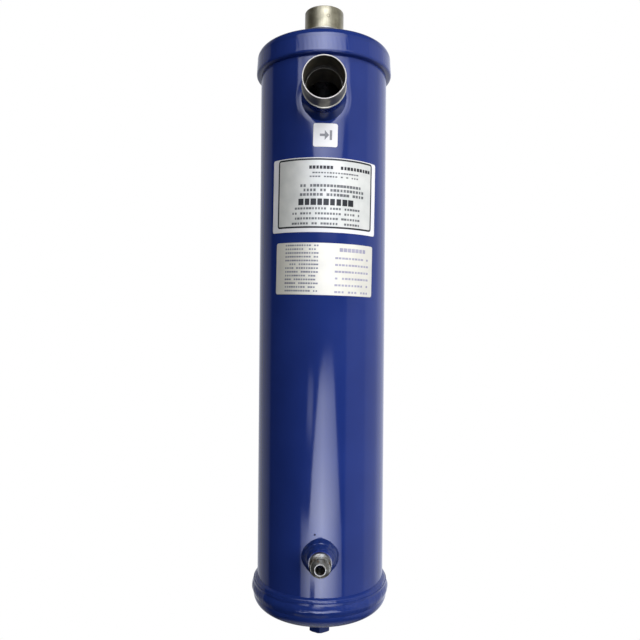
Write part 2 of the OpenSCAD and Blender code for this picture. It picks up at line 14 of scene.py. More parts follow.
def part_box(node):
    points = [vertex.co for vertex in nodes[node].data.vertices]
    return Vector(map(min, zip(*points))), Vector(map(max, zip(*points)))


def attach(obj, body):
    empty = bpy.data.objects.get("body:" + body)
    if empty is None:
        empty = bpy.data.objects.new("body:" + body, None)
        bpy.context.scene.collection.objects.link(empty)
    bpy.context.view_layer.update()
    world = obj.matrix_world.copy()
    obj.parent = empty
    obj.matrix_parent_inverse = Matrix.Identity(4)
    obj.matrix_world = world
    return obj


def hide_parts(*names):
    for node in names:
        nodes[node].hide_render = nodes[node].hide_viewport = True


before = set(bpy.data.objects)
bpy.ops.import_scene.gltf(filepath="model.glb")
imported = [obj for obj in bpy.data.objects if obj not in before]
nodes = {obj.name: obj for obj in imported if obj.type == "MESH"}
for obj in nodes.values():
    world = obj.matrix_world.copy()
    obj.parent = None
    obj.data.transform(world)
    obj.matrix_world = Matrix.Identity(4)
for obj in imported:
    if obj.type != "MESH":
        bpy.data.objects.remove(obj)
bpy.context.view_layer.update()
scene = bpy.context.scene
MM = 0.001
shell_low, shell_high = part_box("shell")
SHELL_R = shell_high.x
print("nodes:", len(nodes), "shell radius in mm:", round(SHELL_R / MM, 2))

# %% [markdown]
# ## The camera
# The photograph was taken from close by, level with the middle of the vessel, so the outlet is
# seen from below and the oil return from above. A short lens at the real distance gives that
# perspective, which no amount of zoom from further away could. The camera leans by half a degree.

# %% Camera at the photograph's place
def put(name, data):
    """A new object in the scene, at the origin."""
    thing = bpy.data.objects.new(name, data)
    scene.collection.objects.link(thing)
    return thing


CAMERA_AT = Vector((-1.54, -505.57, 252.2)) * MM
CAMERA_FOCAL_MM = 34.738
CAMERA_LEAN = math.radians(0.4675)
camera_data = bpy.data.cameras.new("photo_camera")
camera_data.lens = CAMERA_FOCAL_MM
camera_data.sensor_width = 36.0
camera_data.clip_start = 0.01
camera = put("photo_camera", camera_data)
camera.matrix_world = (Matrix.Translation(CAMERA_AT)
                       @ Matrix.Rotation(math.pi / 2, 4, "X")
                       @ Matrix.Rotation(CAMERA_LEAN, 4, "Z"))
scene.camera = camera
scene.view_settings.view_transform = "Standard"
print("camera at", [round(x, 4) for x in camera.location])

# %% [markdown]
# ## Nodes and colours
# Every material here is a small node tree. One helper adds a node, sets it and links it, so that
# a tree reads from top to bottom like a recipe. Colours are written as the hex values that a
# screen shows, and one function turns them into the linear light that the renderer works in.

# %% Helpers for node trees
def linear(hex_colour):
    """An sRGB hex value as linear light, with alpha."""
    parts = [int(hex_colour[i:i + 2], 16) / 255 for i in (1, 3, 5)]
    return [c / 12.92 if c <= 0.04045 else ((c + 0.055) / 1.055) ** 2.4 for c in parts] + [1.0]


def add(tree, kind, inputs=None, **settings):
    """Add a node: settings go on the node, and inputs on its sockets. An input is a value, a socket
    to link from, or a node whose first output is linked. A short kind is a shader node's."""
    node = tree.nodes.new(kind if "Node" in kind else "ShaderNode" + kind)
    for key, value in settings.items():
        setattr(node, key, value)
    for key, value in (inputs or {}).items():
        source = value.outputs[0] if isinstance(value, bpy.types.Node) else value
        if isinstance(source, bpy.types.NodeSocket):
            tree.links.new(source, node.inputs[key])
        else:
            node.inputs[key].default_value = source
    return node


def new_material(name):
    """An empty node material, its tree, and the place on the object that its patterns follow."""
    material = bpy.data.materials.new(name)
    material.use_nodes = True
    tree = material.node_tree
    tree.nodes.clear()
    return material, tree, add(tree, "TexCoord").outputs["Object"]


def ramp_stops(node, stops):
    """Set the stops of a colour ramp from (place, colour) pairs."""
    elements = node.color_ramp.elements
    while len(elements) < len(stops):
        elements.new(1.0)
    for element, (place, colour) in zip(elements, stops):
        element.position = place
        element.color = colour


print("royal blue in linear light:", [round(c, 3) for c in linear("#203377")])

# %% [markdown]
# ## Studio light
# Gloss paint is mostly a mirror of the room, so the room is built first. Two white reflectors stand
# behind the camera, one above it and one below. They make the two pale bands down the front of the
# vessel, so their outlines are drawn as the paint shows them: wide at the far end, and narrow
# where they meet in the middle. Each is a flat card whose glow fades to its sides and to its narrow
# end. The camera doesn't see the cards, but the paint does.

# %% Reflector cards
CARD_Y = -1.2
CARD_TINT = (0.93, 0.97, 1.15)
SIDE_SHARE = 0.22


def stage_sheet(name, corners, material, place, *unseen_by):
    """A flat sheet of the studio, which isn't part of the object and misses some kinds of ray."""
    mesh = bpy.data.meshes.new(name)
    mesh.from_pydata(corners, [], [range(len(corners))])
    mesh.materials.append(material)
    sheet = put(name, mesh)
    sheet.location = place
    for ray in unseen_by:
        setattr(sheet, "visible_" + ray, False)
    return sheet


def reflector(name, corners, radiance, hot_x, reach, levels):
    """A glowing card with (x, z) corners that faces the vessel. It is brightest along the upright
    line at hot_x and fades over reach to each side. levels are (z, share) stops up its height."""
    material, tree, place = new_material(name)
    parts = add(tree, "SeparateXYZ", {0: place}).outputs
    aside = add(tree, "Math", {0: parts["X"], 1: hot_x}, operation="SUBTRACT")
    away = add(tree, "Math", {0: aside}, operation="ABSOLUTE")
    across = add(tree, "MapRange", {
        "Value": away, "From Max": reach, "To Min": radiance, "To Max": SIDE_SHARE * radiance})
    low, high = levels[0][0], levels[-1][0]
    up = add(tree, "MapRange", {"Value": parts["Z"], "From Min": low, "From Max": high})
    share = add(tree, "ValToRGB", {"Fac": up})
    ramp_stops(share, [((z - low) / (high - low), [t * s for t in CARD_TINT] + [1.0]) for z, s in levels])
    glow = add(tree, "Emission", {"Color": share, "Strength": across})
    add(tree, "OutputMaterial", {"Surface": glow})
    stage_sheet(name, [(x, 0.0, z) for x, z in corners], material, (0, CARD_Y, 0), "camera", "diffuse")


upper_corners = [(-0.1, 0.46), (0.47, 0.46), (0.8, 0.76), (0.95, 0.9), (0.95, 1.15), (0.95, 1.95),
                 (0.0, 1.75), (-1.25, 2.0), (-1.25, 1.16), (-0.95, 1.08), (-0.95, 0.95), (-0.45, 0.78)]
lower_corners = [(0.12, 0.17), (-0.06, 0.11), (-0.19, -0.01), (-0.32, -0.15), (-0.39, -0.26),
                 (-0.46, -0.31), (-0.8, -0.34), (-0.8, -0.6), (-0.37, -0.52), (-0.36, -0.45),
                 (-0.19, -0.44), (-0.18, -0.51), (0.15, -0.5), (0.97, -0.64), (0.89, -0.39),
                 (0.7, -0.18), (0.58, -0.03), (0.47, 0.1), (0.38, 0.17)]
left_wing = [(-1.28, 1.0), (-0.95, 0.95), (-0.95, 1.08), (-1.25, 1.16)]
right_wing = [(0.95, 0.9), (1.25, 1.0), (1.25, 1.12), (0.95, 1.1)]
edge_corners = [(-0.5, 0.1), (-0.28, 0.1), (-0.34, -0.08), (-0.59, -0.08)]
reflector("upper_card", upper_corners, 7.2, 0.0, 0.9, [(0.46, 0.03), (0.69, 0.62), (0.98, 1.0), (2.0, 1.0)])
reflector("lower_card", lower_corners, 7.9, 0.05, 0.75,
          [(-0.65, 0.8), (-0.27, 1.0), (-0.06, 0.64), (0.05, 0.55), (0.16, 0.08)])
reflector("edge_card", edge_corners, 1.7, -0.4, 0.3, [(-0.08, 0.2), (0.0, 1.0), (0.1, 0.5)])
for name, corners in (("left_wing", left_wing), ("right_wing", right_wing)):
    reflector(name, corners, 3.4, 0.0, 4.0, [(0.9, 1.0), (1.2, 1.0)])
print("cards stand", abs(CARD_Y), "m in front of the axis")

# %% [markdown]
# The cards only draw reflections. What gives the paint and the stickers their body colour is a key
# light to the right of the camera and a weaker fill to the left, so the left flank falls into shade.
# Both are kept out of reflections, as lamps high overhead would be. Together they make a colour show
# about as it is written.

# %% Key and fill lights
LAMP_DISTANCE = 1.5
LAMP_HALF = 1.0
LAMP_Z = 1.0
LAMP_AIM = Vector((0, 0, 0.25))


def body_light(name, azimuth, radiance):
    """A square lamp at an azimuth from the camera's side, for diffuse light only."""
    material, tree, _ = new_material(name)
    glow = add(tree, "Emission", {"Strength": radiance})
    add(tree, "OutputMaterial", {"Surface": glow})
    corners = [(x * LAMP_HALF, 0, z * LAMP_HALF) for x, z in ((-1, -1), (1, -1), (1, 1), (-1, 1))]
    turn = math.radians(azimuth)
    place = Vector((LAMP_DISTANCE * math.sin(turn), -LAMP_DISTANCE * math.cos(turn), LAMP_Z))
    lamp = stage_sheet(name, corners, material, place, "camera", "glossy")
    lamp.rotation_euler = (LAMP_AIM - place).to_track_quat("Y", "Z").to_euler()
    print(name, "at", [round(v, 2) for v in place])


body_light("key_light", 42, 4.5)
body_light("fill_light", -28, 1.45)

# %% [markdown]
# The world is the rest of the room: dark round the camera, a pale wall to the right, a greyer one to
# the left, and the white backdrop behind. The camera itself sees plain white.

# %% World
WALL_TINT = (0.97, 1.0, 1.12)
WALL_TONES = [(-180, 0.7), (-122, 0.4), (-107, 0.24), (-104, 0.01), (43, 0.01), (46, 0.36),
              (83, 0.4), (87, 0.6), (115, 0.65), (126, 0.9), (180, 0.9)]
world = bpy.data.worlds.new("studio")
scene.world = world
world.use_nodes = True
room = world.node_tree
room.nodes.clear()
direction = add(room, "TexCoord").outputs["Generated"]
parts = add(room, "SeparateXYZ", {0: direction}).outputs
to_camera = add(room, "Math", {0: parts["Y"], 1: -1.0}, operation="MULTIPLY")
azimuth = add(room, "Math", {0: parts["X"], 1: to_camera}, operation="ARCTAN2")
turn = add(room, "MapRange", {"Value": azimuth, "From Min": -math.pi, "From Max": math.pi})
walls = add(room, "ValToRGB", {"Fac": turn})
ramp_stops(walls, [((az + 180) / 360, [t * tone for t in WALL_TINT] + [1.0]) for az, tone in WALL_TONES])
height = add(room, "Math", {0: parts["Z"]}, operation="ABSOLUTE")
near_level = add(room, "MapRange", {
    "Value": height, "From Min": 0.5, "From Max": 0.75, "To Min": 1.0, "To Max": 0.1})
room_light = add(room, "Background", {"Color": walls, "Strength": near_level})
backdrop = add(room, "Background", {"Color": linear("#ffffff"), "Strength": 1.0})
ray = add(room, "LightPath").outputs
seen = add(room, "Math", {0: ray["Is Camera Ray"], 1: ray["Is Transmission Ray"]}, operation="MAXIMUM")
shown = add(room, "MixShader", {0: seen, 1: room_light, 2: backdrop})
add(room, "OutputWorld", {"Surface": shown})
print("world nodes:", len(room.nodes))

# %% [markdown]
# The floor is a pale disc well below the vessel. It fades into the white of the backdrop at its edge,
# so it never shows as a disc.

# %% Floor
FLOOR_Z = -0.5
FLOOR_R = 0.4


def full_turn(steps):
    """The angles of even steps round a circle."""
    return [2 * math.pi * i / steps for i in range(steps)]


floor_material, tree, place = new_material("pale_floor")
from_middle = add(tree, "VectorMath", {0: place}, operation="LENGTH")
fade = add(tree, "MapRange", {
    "Value": from_middle.outputs["Value"], "From Min": 0.4 * FLOOR_R, "From Max": FLOOR_R})
pale = add(tree, "BsdfDiffuse", {"Color": linear("#e9e9e6")})
clear = add(tree, "BsdfTransparent")
faded = add(tree, "MixShader", {0: fade, 1: pale, 2: clear})
add(tree, "OutputMaterial", {"Surface": faded})
rim = [(FLOOR_R * math.cos(a), FLOOR_R * math.sin(a), 0.0) for a in full_turn(96)]
stage_sheet("floor", rim, floor_material, (0, 0, FLOOR_Z))
print("floor at", FLOOR_Z)

# %% [markdown]
# ## Gloss enamel
# The vessel is steel, sprayed with a royal-blue enamel that dried glossy. A dielectric with a low
# roughness gives the clean edges of the reflections. A very slight waviness, a few millimetres
# across, is the orange peel of sprayed paint. The caps were spun, so fine rings show through.

# %% Blue enamel
def mottle(tree, place, grain_mm, stops, detail=3.0):
    """Cloudy noise with a grain in millimetres, and its colour from a ramp of (level, hex) stops."""
    cloud = add(tree, "TexNoise", {"Vector": place, "Scale": 1 / (grain_mm * MM), "Detail": detail})
    tone = add(tree, "ValToRGB", {"Fac": cloud})
    ramp_stops(tone, [(level, linear(colour)) for level, colour in stops])
    return cloud, tone


def spot(tree, place, middle, radius):
    """How far inside a small round spot a point lies: 1 in the spot, fading to 0 past its edge."""
    away = add(tree, "VectorMath", {0: place, 1: [v * MM for v in middle]}, operation="DISTANCE")
    return add(tree, "MapRange", {
        "Value": away.outputs["Value"], "From Min": 0.7 * radius * MM, "From Max": radius * MM,
        "To Min": 1.0, "To Max": 0.0})


def blue_enamel(name, tones, rings=0.0, speck=None):
    """Sprayed gloss enamel in two close tones. rings is how strongly turning marks show through it,
    and speck is the place of one dark grain caught in the paint."""
    material, tree, place = new_material(name)
    cloud, tone = mottle(tree, place, 45, zip((0.35, 0.65), tones), 2.0)
    gloss = add(tree, "MapRange", {
        "Value": cloud, "From Min": 0.3, "From Max": 0.7, "To Min": 0.08, "To Max": 0.12})
    peel = add(tree, "TexNoise", {"Vector": place, "Scale": 1 / (2.6 * MM), "Detail": 1.0})
    bump = add(tree, "Bump", {"Height": peel, "Strength": 0.13, "Distance": 0.05 * MM})
    if rings:
        stretched = add(tree, "Mapping", {"Vector": place, "Scale": [20, 20, 1 / (0.9 * MM)]})
        marks = add(tree, "TexNoise", {"Vector": stretched, "Scale": 1.0, "Detail": 2.0})
        bump = add(tree, "Bump", {
            "Height": marks, "Strength": rings, "Distance": 0.05 * MM, "Normal": bump})
    paint = add(tree, "BsdfPrincipled", {
        "Base Color": tone, "Roughness": gloss, "IOR": 1.52, "Normal": bump})
    if speck:
        grain = add(tree, "BsdfPrincipled", {"Base Color": linear("#14163a"), "Roughness": 0.7})
        paint = add(tree, "MixShader", {0: spot(tree, place, speck, 0.9), 1: paint, 2: grain})
    add(tree, "OutputMaterial", {"Surface": paint})
    return material


ENAMEL = blue_enamel("blue_enamel_on_tube", ("#1c2e70", "#1f3277"), speck=(-4.1, -50.6, 93.9))
SPUN_ENAMEL = blue_enamel("blue_enamel_on_spun_cap", ("#1a2c6b", "#1d3072"), rings=0.25)
# The welds and the boss take a darker copy of the same enamel: painted shade.
SHADE_DARKENED_ENAMEL = blue_enamel("blue_enamel_painted_shade", ("#162558", "#192a62"))
print("enamels:", ENAMEL.name, SPUN_ENAMEL.name, SHADE_DARKENED_ENAMEL.name)

# %% [markdown]
# ## Shell and caps
# The CAD meshes are made of loose flat triangles, which a mirror finish would show. The tube and
# the two dished caps are turned again here from the same sizes with many more steps, and shaded
# smooth up to their real edges. A half section is turned round the axis, as on a lathe.

# %% Turning helper
def link_piece(name, mesh, material, slot, *replaced):
    """Put a mesh into the scene as a piece that rides on the vessel and stands for CAD nodes."""
    mesh.materials.clear()
    mesh.materials.append(material)
    piece = put(name, mesh)
    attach(piece, "vessel")
    if replaced:
        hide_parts(*replaced)


def smoothed(mesh, crease=35):
    """Shade a mesh smooth, with sharp edges only above the crease angle."""
    mesh.polygons.foreach_set("use_smooth", [True] * len(mesh.polygons))
    mesh.set_sharp_from_angle(angle=math.radians(crease))
    return mesh


def finished_mesh(name, points, faces, crease=35):
    """A smooth mesh with merged doubles and outward normals."""
    mesh = bpy.data.meshes.new(name)
    mesh.from_pydata(points, [], faces)
    work = bmesh.new()
    work.from_mesh(mesh)
    bmesh.ops.remove_doubles(work, verts=work.verts, dist=1e-7)
    bmesh.ops.recalc_face_normals(work, faces=work.faces)
    work.to_mesh(mesh)
    work.free()
    return smoothed(mesh, crease)


def closed_skin(name, rows, crease=35):
    """A mesh over rows of points, closed along each row and from the last row to the first."""
    count = len(rows)
    n = len(rows[0])
    faces = [(i * n + j, (i + 1) % count * n + j, (i + 1) % count * n + (j + 1) % n, i * n + (j + 1) % n)
             for i in range(count) for j in range(n)]
    return finished_mesh(name, [point for row in rows for point in row], faces, crease)


def lofted_mesh(name, section_at, place, steps, crease=35):
    """A closed half section of (radius, height) points, carried round Z and then put in place.
    section_at(angle) gives it, so that it may change from angle to angle."""
    return closed_skin(name, [[place @ Vector((r * math.cos(a), r * math.sin(a), z))
                               for r, z in section_at(a)] for a in full_turn(steps)], crease)


def turned_mesh(name, section, place=Matrix(), steps=192):
    """One closed half section, turned round Z."""
    return lofted_mesh(name, lambda angle: section, place, steps)


def arc(middle, radius, start, end, steps):
    """Points of an arc from one angle to another, in degrees."""
    angles = [math.radians(start + (end - start) * i / steps) for i in range(steps + 1)]
    return [(middle[0] + radius * math.cos(a), middle[1] + radius * math.sin(a)) for a in angles]


def up_to(z):
    """Lifts a shape to a height."""
    return Matrix.Translation((0, 0, z))


def facing_front(z):
    """Turns a shape built up its own Z so that it faces the front at a height."""
    return up_to(z) @ Matrix.Rotation(math.pi / 2, 4, "X")


# %% Dished caps
CAP_WALL = 3 * MM
CAP_SKIRT = 12 * MM
CAP_KNUCKLE = 8 * MM
TOP_KNUCKLE = 6.5 * MM
BOTTOM_KNUCKLE = 10 * MM
CAP_CROWN = 220 * MM
EDGE = 0.4 * MM
OUTLET_HOLE_R = 14.35 * MM
BOSS_HOLE_R = 6.05 * MM
cap_low, cap_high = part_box("top_cap")
CAP_R = cap_high.x
TOP_EDGE_Z = cap_low.z
BOTTOM_EDGE_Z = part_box("bottom_cap")[1].z


def crown_middle(radius, knuckle, crown):
    """How far the middle of the crown's sphere lies below the knuckle's middle."""
    return math.sqrt((crown - knuckle) ** 2 - (radius - knuckle) ** 2)


CROWN_Z = CAP_SKIRT - crown_middle(CAP_R, CAP_KNUCKLE, CAP_CROWN)


def dish(radius, knuckle, crown, hole_r):
    """Skirt, knuckle and crown as a line from the skirt's edge to the hole. The crown stays in
    place, so a tighter knuckle leaves a longer skirt."""
    skirt = CROWN_Z + crown_middle(radius, knuckle, crown)
    meet = math.degrees(math.atan2(skirt - CROWN_Z, radius - knuckle))
    top = math.degrees(math.acos(hole_r / crown))
    return (arc((radius - knuckle, skirt), knuckle, 0, meet, 16)
            + arc((0, CROWN_Z), crown, meet, top, 20)[1:])


def cap_piece(name, node, hole_r, knuckle, place):
    """A spun cap of one sheet thickness, its skirt's edge broken."""
    outside = dish(CAP_R, knuckle, CAP_CROWN, hole_r)
    inside = dish(CAP_R - CAP_WALL, knuckle - CAP_WALL, CAP_CROWN - CAP_WALL, hole_r)
    rim = [(CAP_R - CAP_WALL, 0), (CAP_R - EDGE, 0), (CAP_R, EDGE)]
    mesh = turned_mesh(name, rim + outside + inside[::-1], place)
    link_piece(name, mesh, SPUN_ENAMEL, "blue_paint", node)


cap_piece("top_cap_spun", "top_cap", OUTLET_HOLE_R, TOP_KNUCKLE, up_to(TOP_EDGE_Z))
cap_piece("bottom_cap_spun", "bottom_cap", BOSS_HOLE_R, BOTTOM_KNUCKLE,
          up_to(BOTTOM_EDGE_Z) @ Matrix.Rotation(math.pi, 4, "X"))
print("caps from", round(BOTTOM_EDGE_Z / MM, 1), "to", round(TOP_EDGE_Z / MM, 1))

# %% [markdown]
# The tube has two holes, for the inlet and the oil return. It is turned with rings along its length,
# so that an exact boolean only disturbs the faces next to each hole, where a weld covers them. The heat
# of welding drew the wall in a little round the inlet. It is about a millimetre at the hole, but a
# mirror shows it, so the rings are closer there and their points are moved in.

# %% Shell tube
SHELL_WALL = 3 * MM
SHELL_RINGS = 60
INLET_HOLE_R = 14.35 * MM
OIL_HOLE_R = 9.05 * MM
DISH_R = 21 * MM
DISH_DEPTH = 1.2 * MM
DISH_RINGS = 20


def middle_z(node):
    """Height of the middle of a CAD node."""
    return sum(v.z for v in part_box(node)) / 2


INLET_Z = middle_z("inlet_stub")
OIL_Z = middle_z("oil_return_fitting")


def evaluated_mesh(work, name):
    """The mesh that an object's modifiers make, as a plain mesh. The object itself is removed."""
    graph = bpy.context.evaluated_depsgraph_get()
    mesh = bpy.data.meshes.new_from_object(work.evaluated_get(graph))
    mesh.name = name
    bpy.data.objects.remove(work)
    return mesh


def drilled_mesh(mesh, holes):
    """Cut cylinders of (radius, height) out of the front of a mesh."""
    work = put("work", mesh)
    drills = []
    for radius, z in holes:
        section = [(0, 0), (radius, 0), (radius, 2 * SHELL_R), (0, 2 * SHELL_R)]
        drills.append(put("drill", turned_mesh("drill", section, facing_front(z), 96)))
        cut = work.modifiers.new("drill", "BOOLEAN")
        cut.object = drills[-1]
        cut.solver = "EXACT"
    result = evaluated_mesh(work, mesh.name + "_drilled")
    for drill in drills:
        bpy.data.objects.remove(drill)
    return smoothed(result)


even = [shell_low.z + (shell_high.z - shell_low.z) * i / SHELL_RINGS for i in range(SHELL_RINGS + 1)]
close = [INLET_Z + DISH_R * i / DISH_RINGS for i in range(-DISH_RINGS, DISH_RINGS + 1)]
levels = sorted(close + [z for z in even if abs(z - INLET_Z) > 1.1 * DISH_R])
inner_r = SHELL_R - SHELL_WALL
wall = [(SHELL_R, z) for z in levels] + [(inner_r, levels[-1]), (inner_r, levels[0])]
plain = turned_mesh("tube", wall, steps=288)
for vertex in plain.vertices:
    x, y, z = vertex.co
    inward = DISH_R - math.hypot(x, z - INLET_Z)
    if y < 0 and inward > 0 and math.hypot(x, y) > SHELL_R - EDGE:
        sunk = 1 - DISH_DEPTH * (inward / (DISH_R - INLET_HOLE_R)) ** 2 / SHELL_R
        vertex.co = (x * sunk, y * sunk, z)
tube = drilled_mesh(plain, [(INLET_HOLE_R, INLET_Z), (OIL_HOLE_R, OIL_Z)])
link_piece("shell_tube", tube, ENAMEL, "blue_paint", "shell")
print("shell faces:", len(tube.polygons))

# %% [markdown]
# ## Welds
# Each cap is welded to the tube round its edge, and each port is welded where it leaves the shell.
# A weld is laid down as a row of overlapping puddles, so its face has crescent ripples and slow
# lumps. The plain form of a weld is a strip carried round a path, with two numbers stored on
# each point: how far along the weld it lies, and how far across. A Geometry Nodes tree then reads
# those numbers and lifts the ripples, so one tree serves every weld on the vessel.

# %% Ripple tree
def node_group(name, **inputs):
    """A Geometry Nodes tree with inputs named by kind, a material input, and geometry in and out."""
    tree = bpy.data.node_groups.new(name, "GeometryNodeTree")
    named = [(label, kind) for kind, labels in inputs.items() for label in labels]
    for label, kind in [("Geometry", "Geometry")] + named + [("Material", "Material")]:
        tree.interface.new_socket(label, in_out="INPUT", socket_type="NodeSocket" + kind)
    tree.interface.new_socket("Geometry", in_out="OUTPUT", socket_type="NodeSocketGeometry")
    return tree, tree.nodes.new("NodeGroupInput").outputs


def end_group(tree, geometry, material):
    """Realize, set the material and send the geometry out."""
    real = add(tree, "GeometryNodeRealizeInstances", {0: geometry})
    dressed = add(tree, "GeometryNodeSetMaterial", {"Geometry": real, "Material": material})
    add(tree, "NodeGroupOutput", {0: dressed})


def grown_mesh(name, mesh, tree, values):
    """The plain mesh that a tree makes of a mesh, with its inputs set by their identifiers."""
    work = put(name + "_work", mesh)
    modifier = work.modifiers.new(tree.name, "NODES")
    modifier.node_group = tree
    for item in tree.interface.items_tree:
        if item.in_out == "INPUT" and item.name in values:
            modifier[item.identifier] = values[item.name]
    return evaluated_mesh(work, name)


ripples, given = node_group("weld_ripples", Float=("Spacing", "Bow", "Height", "Lump", "Lump size", "Seed"))
along = add(ripples, "GeometryNodeInputNamedAttribute", {"Name": "along"})
across = add(ripples, "GeometryNodeInputNamedAttribute", {"Name": "across"})
squared = add(ripples, "Math", {0: across, 1: across}, operation="MULTIPLY")
fourth = add(ripples, "Math", {0: squared, 1: squared}, operation="MULTIPLY")
inner = add(ripples, "Math", {0: 1.0, 1: fourth}, operation="SUBTRACT", use_clamp=True)
bowed = add(ripples, "Math", {0: squared, 1: given["Bow"], 2: along}, operation="MULTIPLY_ADD")
puddles = add(ripples, "Math", {0: bowed, 1: given["Spacing"]}, operation="DIVIDE")
puddle = add(ripples, "Math", {0: puddles}, operation="FRACT")
half_turn = add(ripples, "Math", {0: puddle, 1: math.pi}, operation="MULTIPLY")
crest = add(ripples, "Math", {0: half_turn}, operation="SINE")
ripple = add(ripples, "Math", {0: crest, 1: given["Height"]}, operation="MULTIPLY")
fineness = add(ripples, "Math", {0: 1.0, 1: given["Lump size"]}, operation="DIVIDE")
lumps = add(ripples, "TexNoise", {
    "W": given["Seed"], "Scale": fineness, "Detail": 1.0}, noise_dimensions="4D")
level = add(ripples, "Math", {0: lumps, 1: 0.5}, operation="SUBTRACT")
lift = add(ripples, "Math", {0: level, 1: given["Lump"], 2: ripple}, operation="MULTIPLY_ADD")
faded = add(ripples, "Math", {0: lift, 1: inner}, operation="MULTIPLY")
normal = add(ripples, "GeometryNodeInputNormal")
offset = add(ripples, "VectorMath", {0: normal, "Scale": faded}, operation="SCALE")
moved = add(ripples, "GeometryNodeSetPosition", {"Geometry": given["Geometry"], "Offset": offset})
end_group(ripples, moved, given["Material"])
print("ripple tree nodes:", len(ripples.nodes))


# %% Strips of weld
def bead(seed, *sizes):
    """Inputs of the ripple tree. sizes are the puddles' spacing and bow, the ripples' height, and
    the lumps' height and width, in millimetres."""
    labels = ("Spacing", "Bow", "Height", "Lump", "Lump size")
    return {"Seed": seed, **{label: size * MM for label, size in zip(labels, sizes)}}


def shares(face, hidden):
    """Places across a weld: from -1 to 1 over its face, and 1 at each hidden point."""
    return [2 * i / (face - 1) - 1 for i in range(face)] + [1.0] * hidden


def weld_piece(name, node, strip, steps, mid_r, values, paint=SHADE_DARKENED_ENAMEL):
    """A closed strip, given by strip(angle) as (point, share across) pairs, with ripples along it."""
    rows = [strip(angle) for angle in full_turn(steps)]
    mesh = closed_skin(name, [[point for point, _ in row] for row in rows])
    numbers = {
        "along": [mid_r * angle for angle, row in zip(full_turn(steps), rows) for _ in row],
        "across": [share for row in rows for _, share in row]}
    for label, values_there in numbers.items():
        mesh.attributes.new(label, "FLOAT", "POINT").data.foreach_set("value", values_there)
    grown = grown_mesh(name, mesh, ripples, {**values, "Material": paint})
    link_piece(name, grown, paint, "blue_paint", node)


def ring_row(angle, face, back, edge_z, into_cap):
    """One row of a weld on a cap, from (radius, distance from the skirt's edge) points. into_cap is
    1 where the cap lies above its edge and -1 where it lies below."""
    points = [(math.cos(angle) * r, math.sin(angle) * r, edge_z + into_cap * s) for r, s in face + back]
    return list(zip(points, shares(len(face), len(back))))


def smooth_through(handles, steps):
    """A curve that passes through every handle, with a number of steps between two of them."""
    ends = [handles[0]] + list(handles) + [handles[-1]]
    curve = []
    for near in zip(ends, ends[1:], ends[2:], ends[3:]):
        for t in (i / steps for i in range(steps)):
            weights = (-t + 2 * t ** 2 - t ** 3, 2 - 5 * t ** 2 + 3 * t ** 3,
                       t + 4 * t ** 2 - 3 * t ** 3, t ** 3 - t ** 2)
            curve.append(tuple(sum(w * p[k] for w, p in zip(weights, near)) / 2 for k in (0, 1)))
    return curve + [handles[-1]]


WELD_SINK = 0.05 * MM
WELD_ROOT = 1.2 * MM
EDGE_WELD_STEPS = 900


def edge_weld(name, node, edge_z, into_cap, handles, values, paint):
    """The bead round a cap's edge. handles run from its toe on the shell to its end on the skirt, as
    (height above the shell, distance from the skirt's edge into the cap) in millimetres."""
    face = smooth_through([(SHELL_R + h * MM, s * MM) for h, s in handles], 4)
    back = [(CAP_R - WELD_SINK, face[-1][1]), (CAP_R - WELD_SINK, WELD_SINK),
            (SHELL_R - WELD_SINK, WELD_SINK), (SHELL_R - WELD_SINK, face[0][1])]
    weld_piece(name, node, lambda angle: ring_row(angle, face, back, edge_z, into_cap),
               EDGE_WELD_STEPS, SHELL_R, values, paint)


top_bead = [(0, -0.7), (1.5, -0.5), (2.8, -0.1), (3.5, 0.7), (3.7, 1.8), (3.65, 3.2), (3.55, 5.2),
            (3.4, 7.5), (3.25, 10), (3.12, 12)]
bottom_bead = [(0, -3.2), (1.4, -2.4), (2.0, -1.6), (2.2, -0.6), (2.7, 0.8), (3.4, 2.4), (4.0, 4),
               (4.25, 5.4), (4.2, 6.6), (3.9, 7.8), (3.5, 9), (3.12, 10.2)]
edge_weld("top_edge_bead", "top_weld", TOP_EDGE_Z, 1, top_bead,
          bead(3.0, 3.2, 1.2, 0.03, 0.15, 16), ENAMEL)
edge_weld("bottom_edge_bead", "bottom_weld", BOTTOM_EDGE_Z, -1, bottom_bead,
          bead(8.0, 3.2, 1.2, 0.05, 0.8, 8), SPUN_ENAMEL)
print("edge bead handles:", len(top_bead), len(bottom_bead))


# %% Welds round the ports
PORT_WELD_STEPS = 360


def bezier(handles, steps):
    """Points of a Bezier curve that the handles pull into shape."""
    n = len(handles) - 1
    curve = []
    for t in (i / steps for i in range(steps + 1)):
        weights = [math.comb(n, k) * t ** k * (1 - t) ** (n - k) for k in range(n + 1)]
        curve.append(tuple(sum(w * h[axis] for w, h in zip(weights, handles)) for axis in (0, 1)))
    return curve


def port_weld(name, node, z, port_r, face, foot, values):
    """A weld that follows the saddle where a round port leaves the shell.
    face runs from the port to the toe, as (radius, height above the shell) in metres.
    foot(angle) stretches it away from the port."""
    toe = face[-1][0]
    back = [(r, -WELD_ROOT) for r in (toe, (toe + port_r) / 2, port_r - WELD_SINK)]

    def strip(angle):
        points = []
        for r, h in face + back:
            r = port_r + (r - port_r) * foot(angle)
            x = r * math.cos(angle)
            points.append((x, -math.sqrt(SHELL_R ** 2 - x ** 2) - h, z + r * math.sin(angle)))
        return list(zip(points, shares(len(face), len(back))))

    weld_piece(name, node, strip, PORT_WELD_STEPS, (face[0][0] + toe) / 2, values)


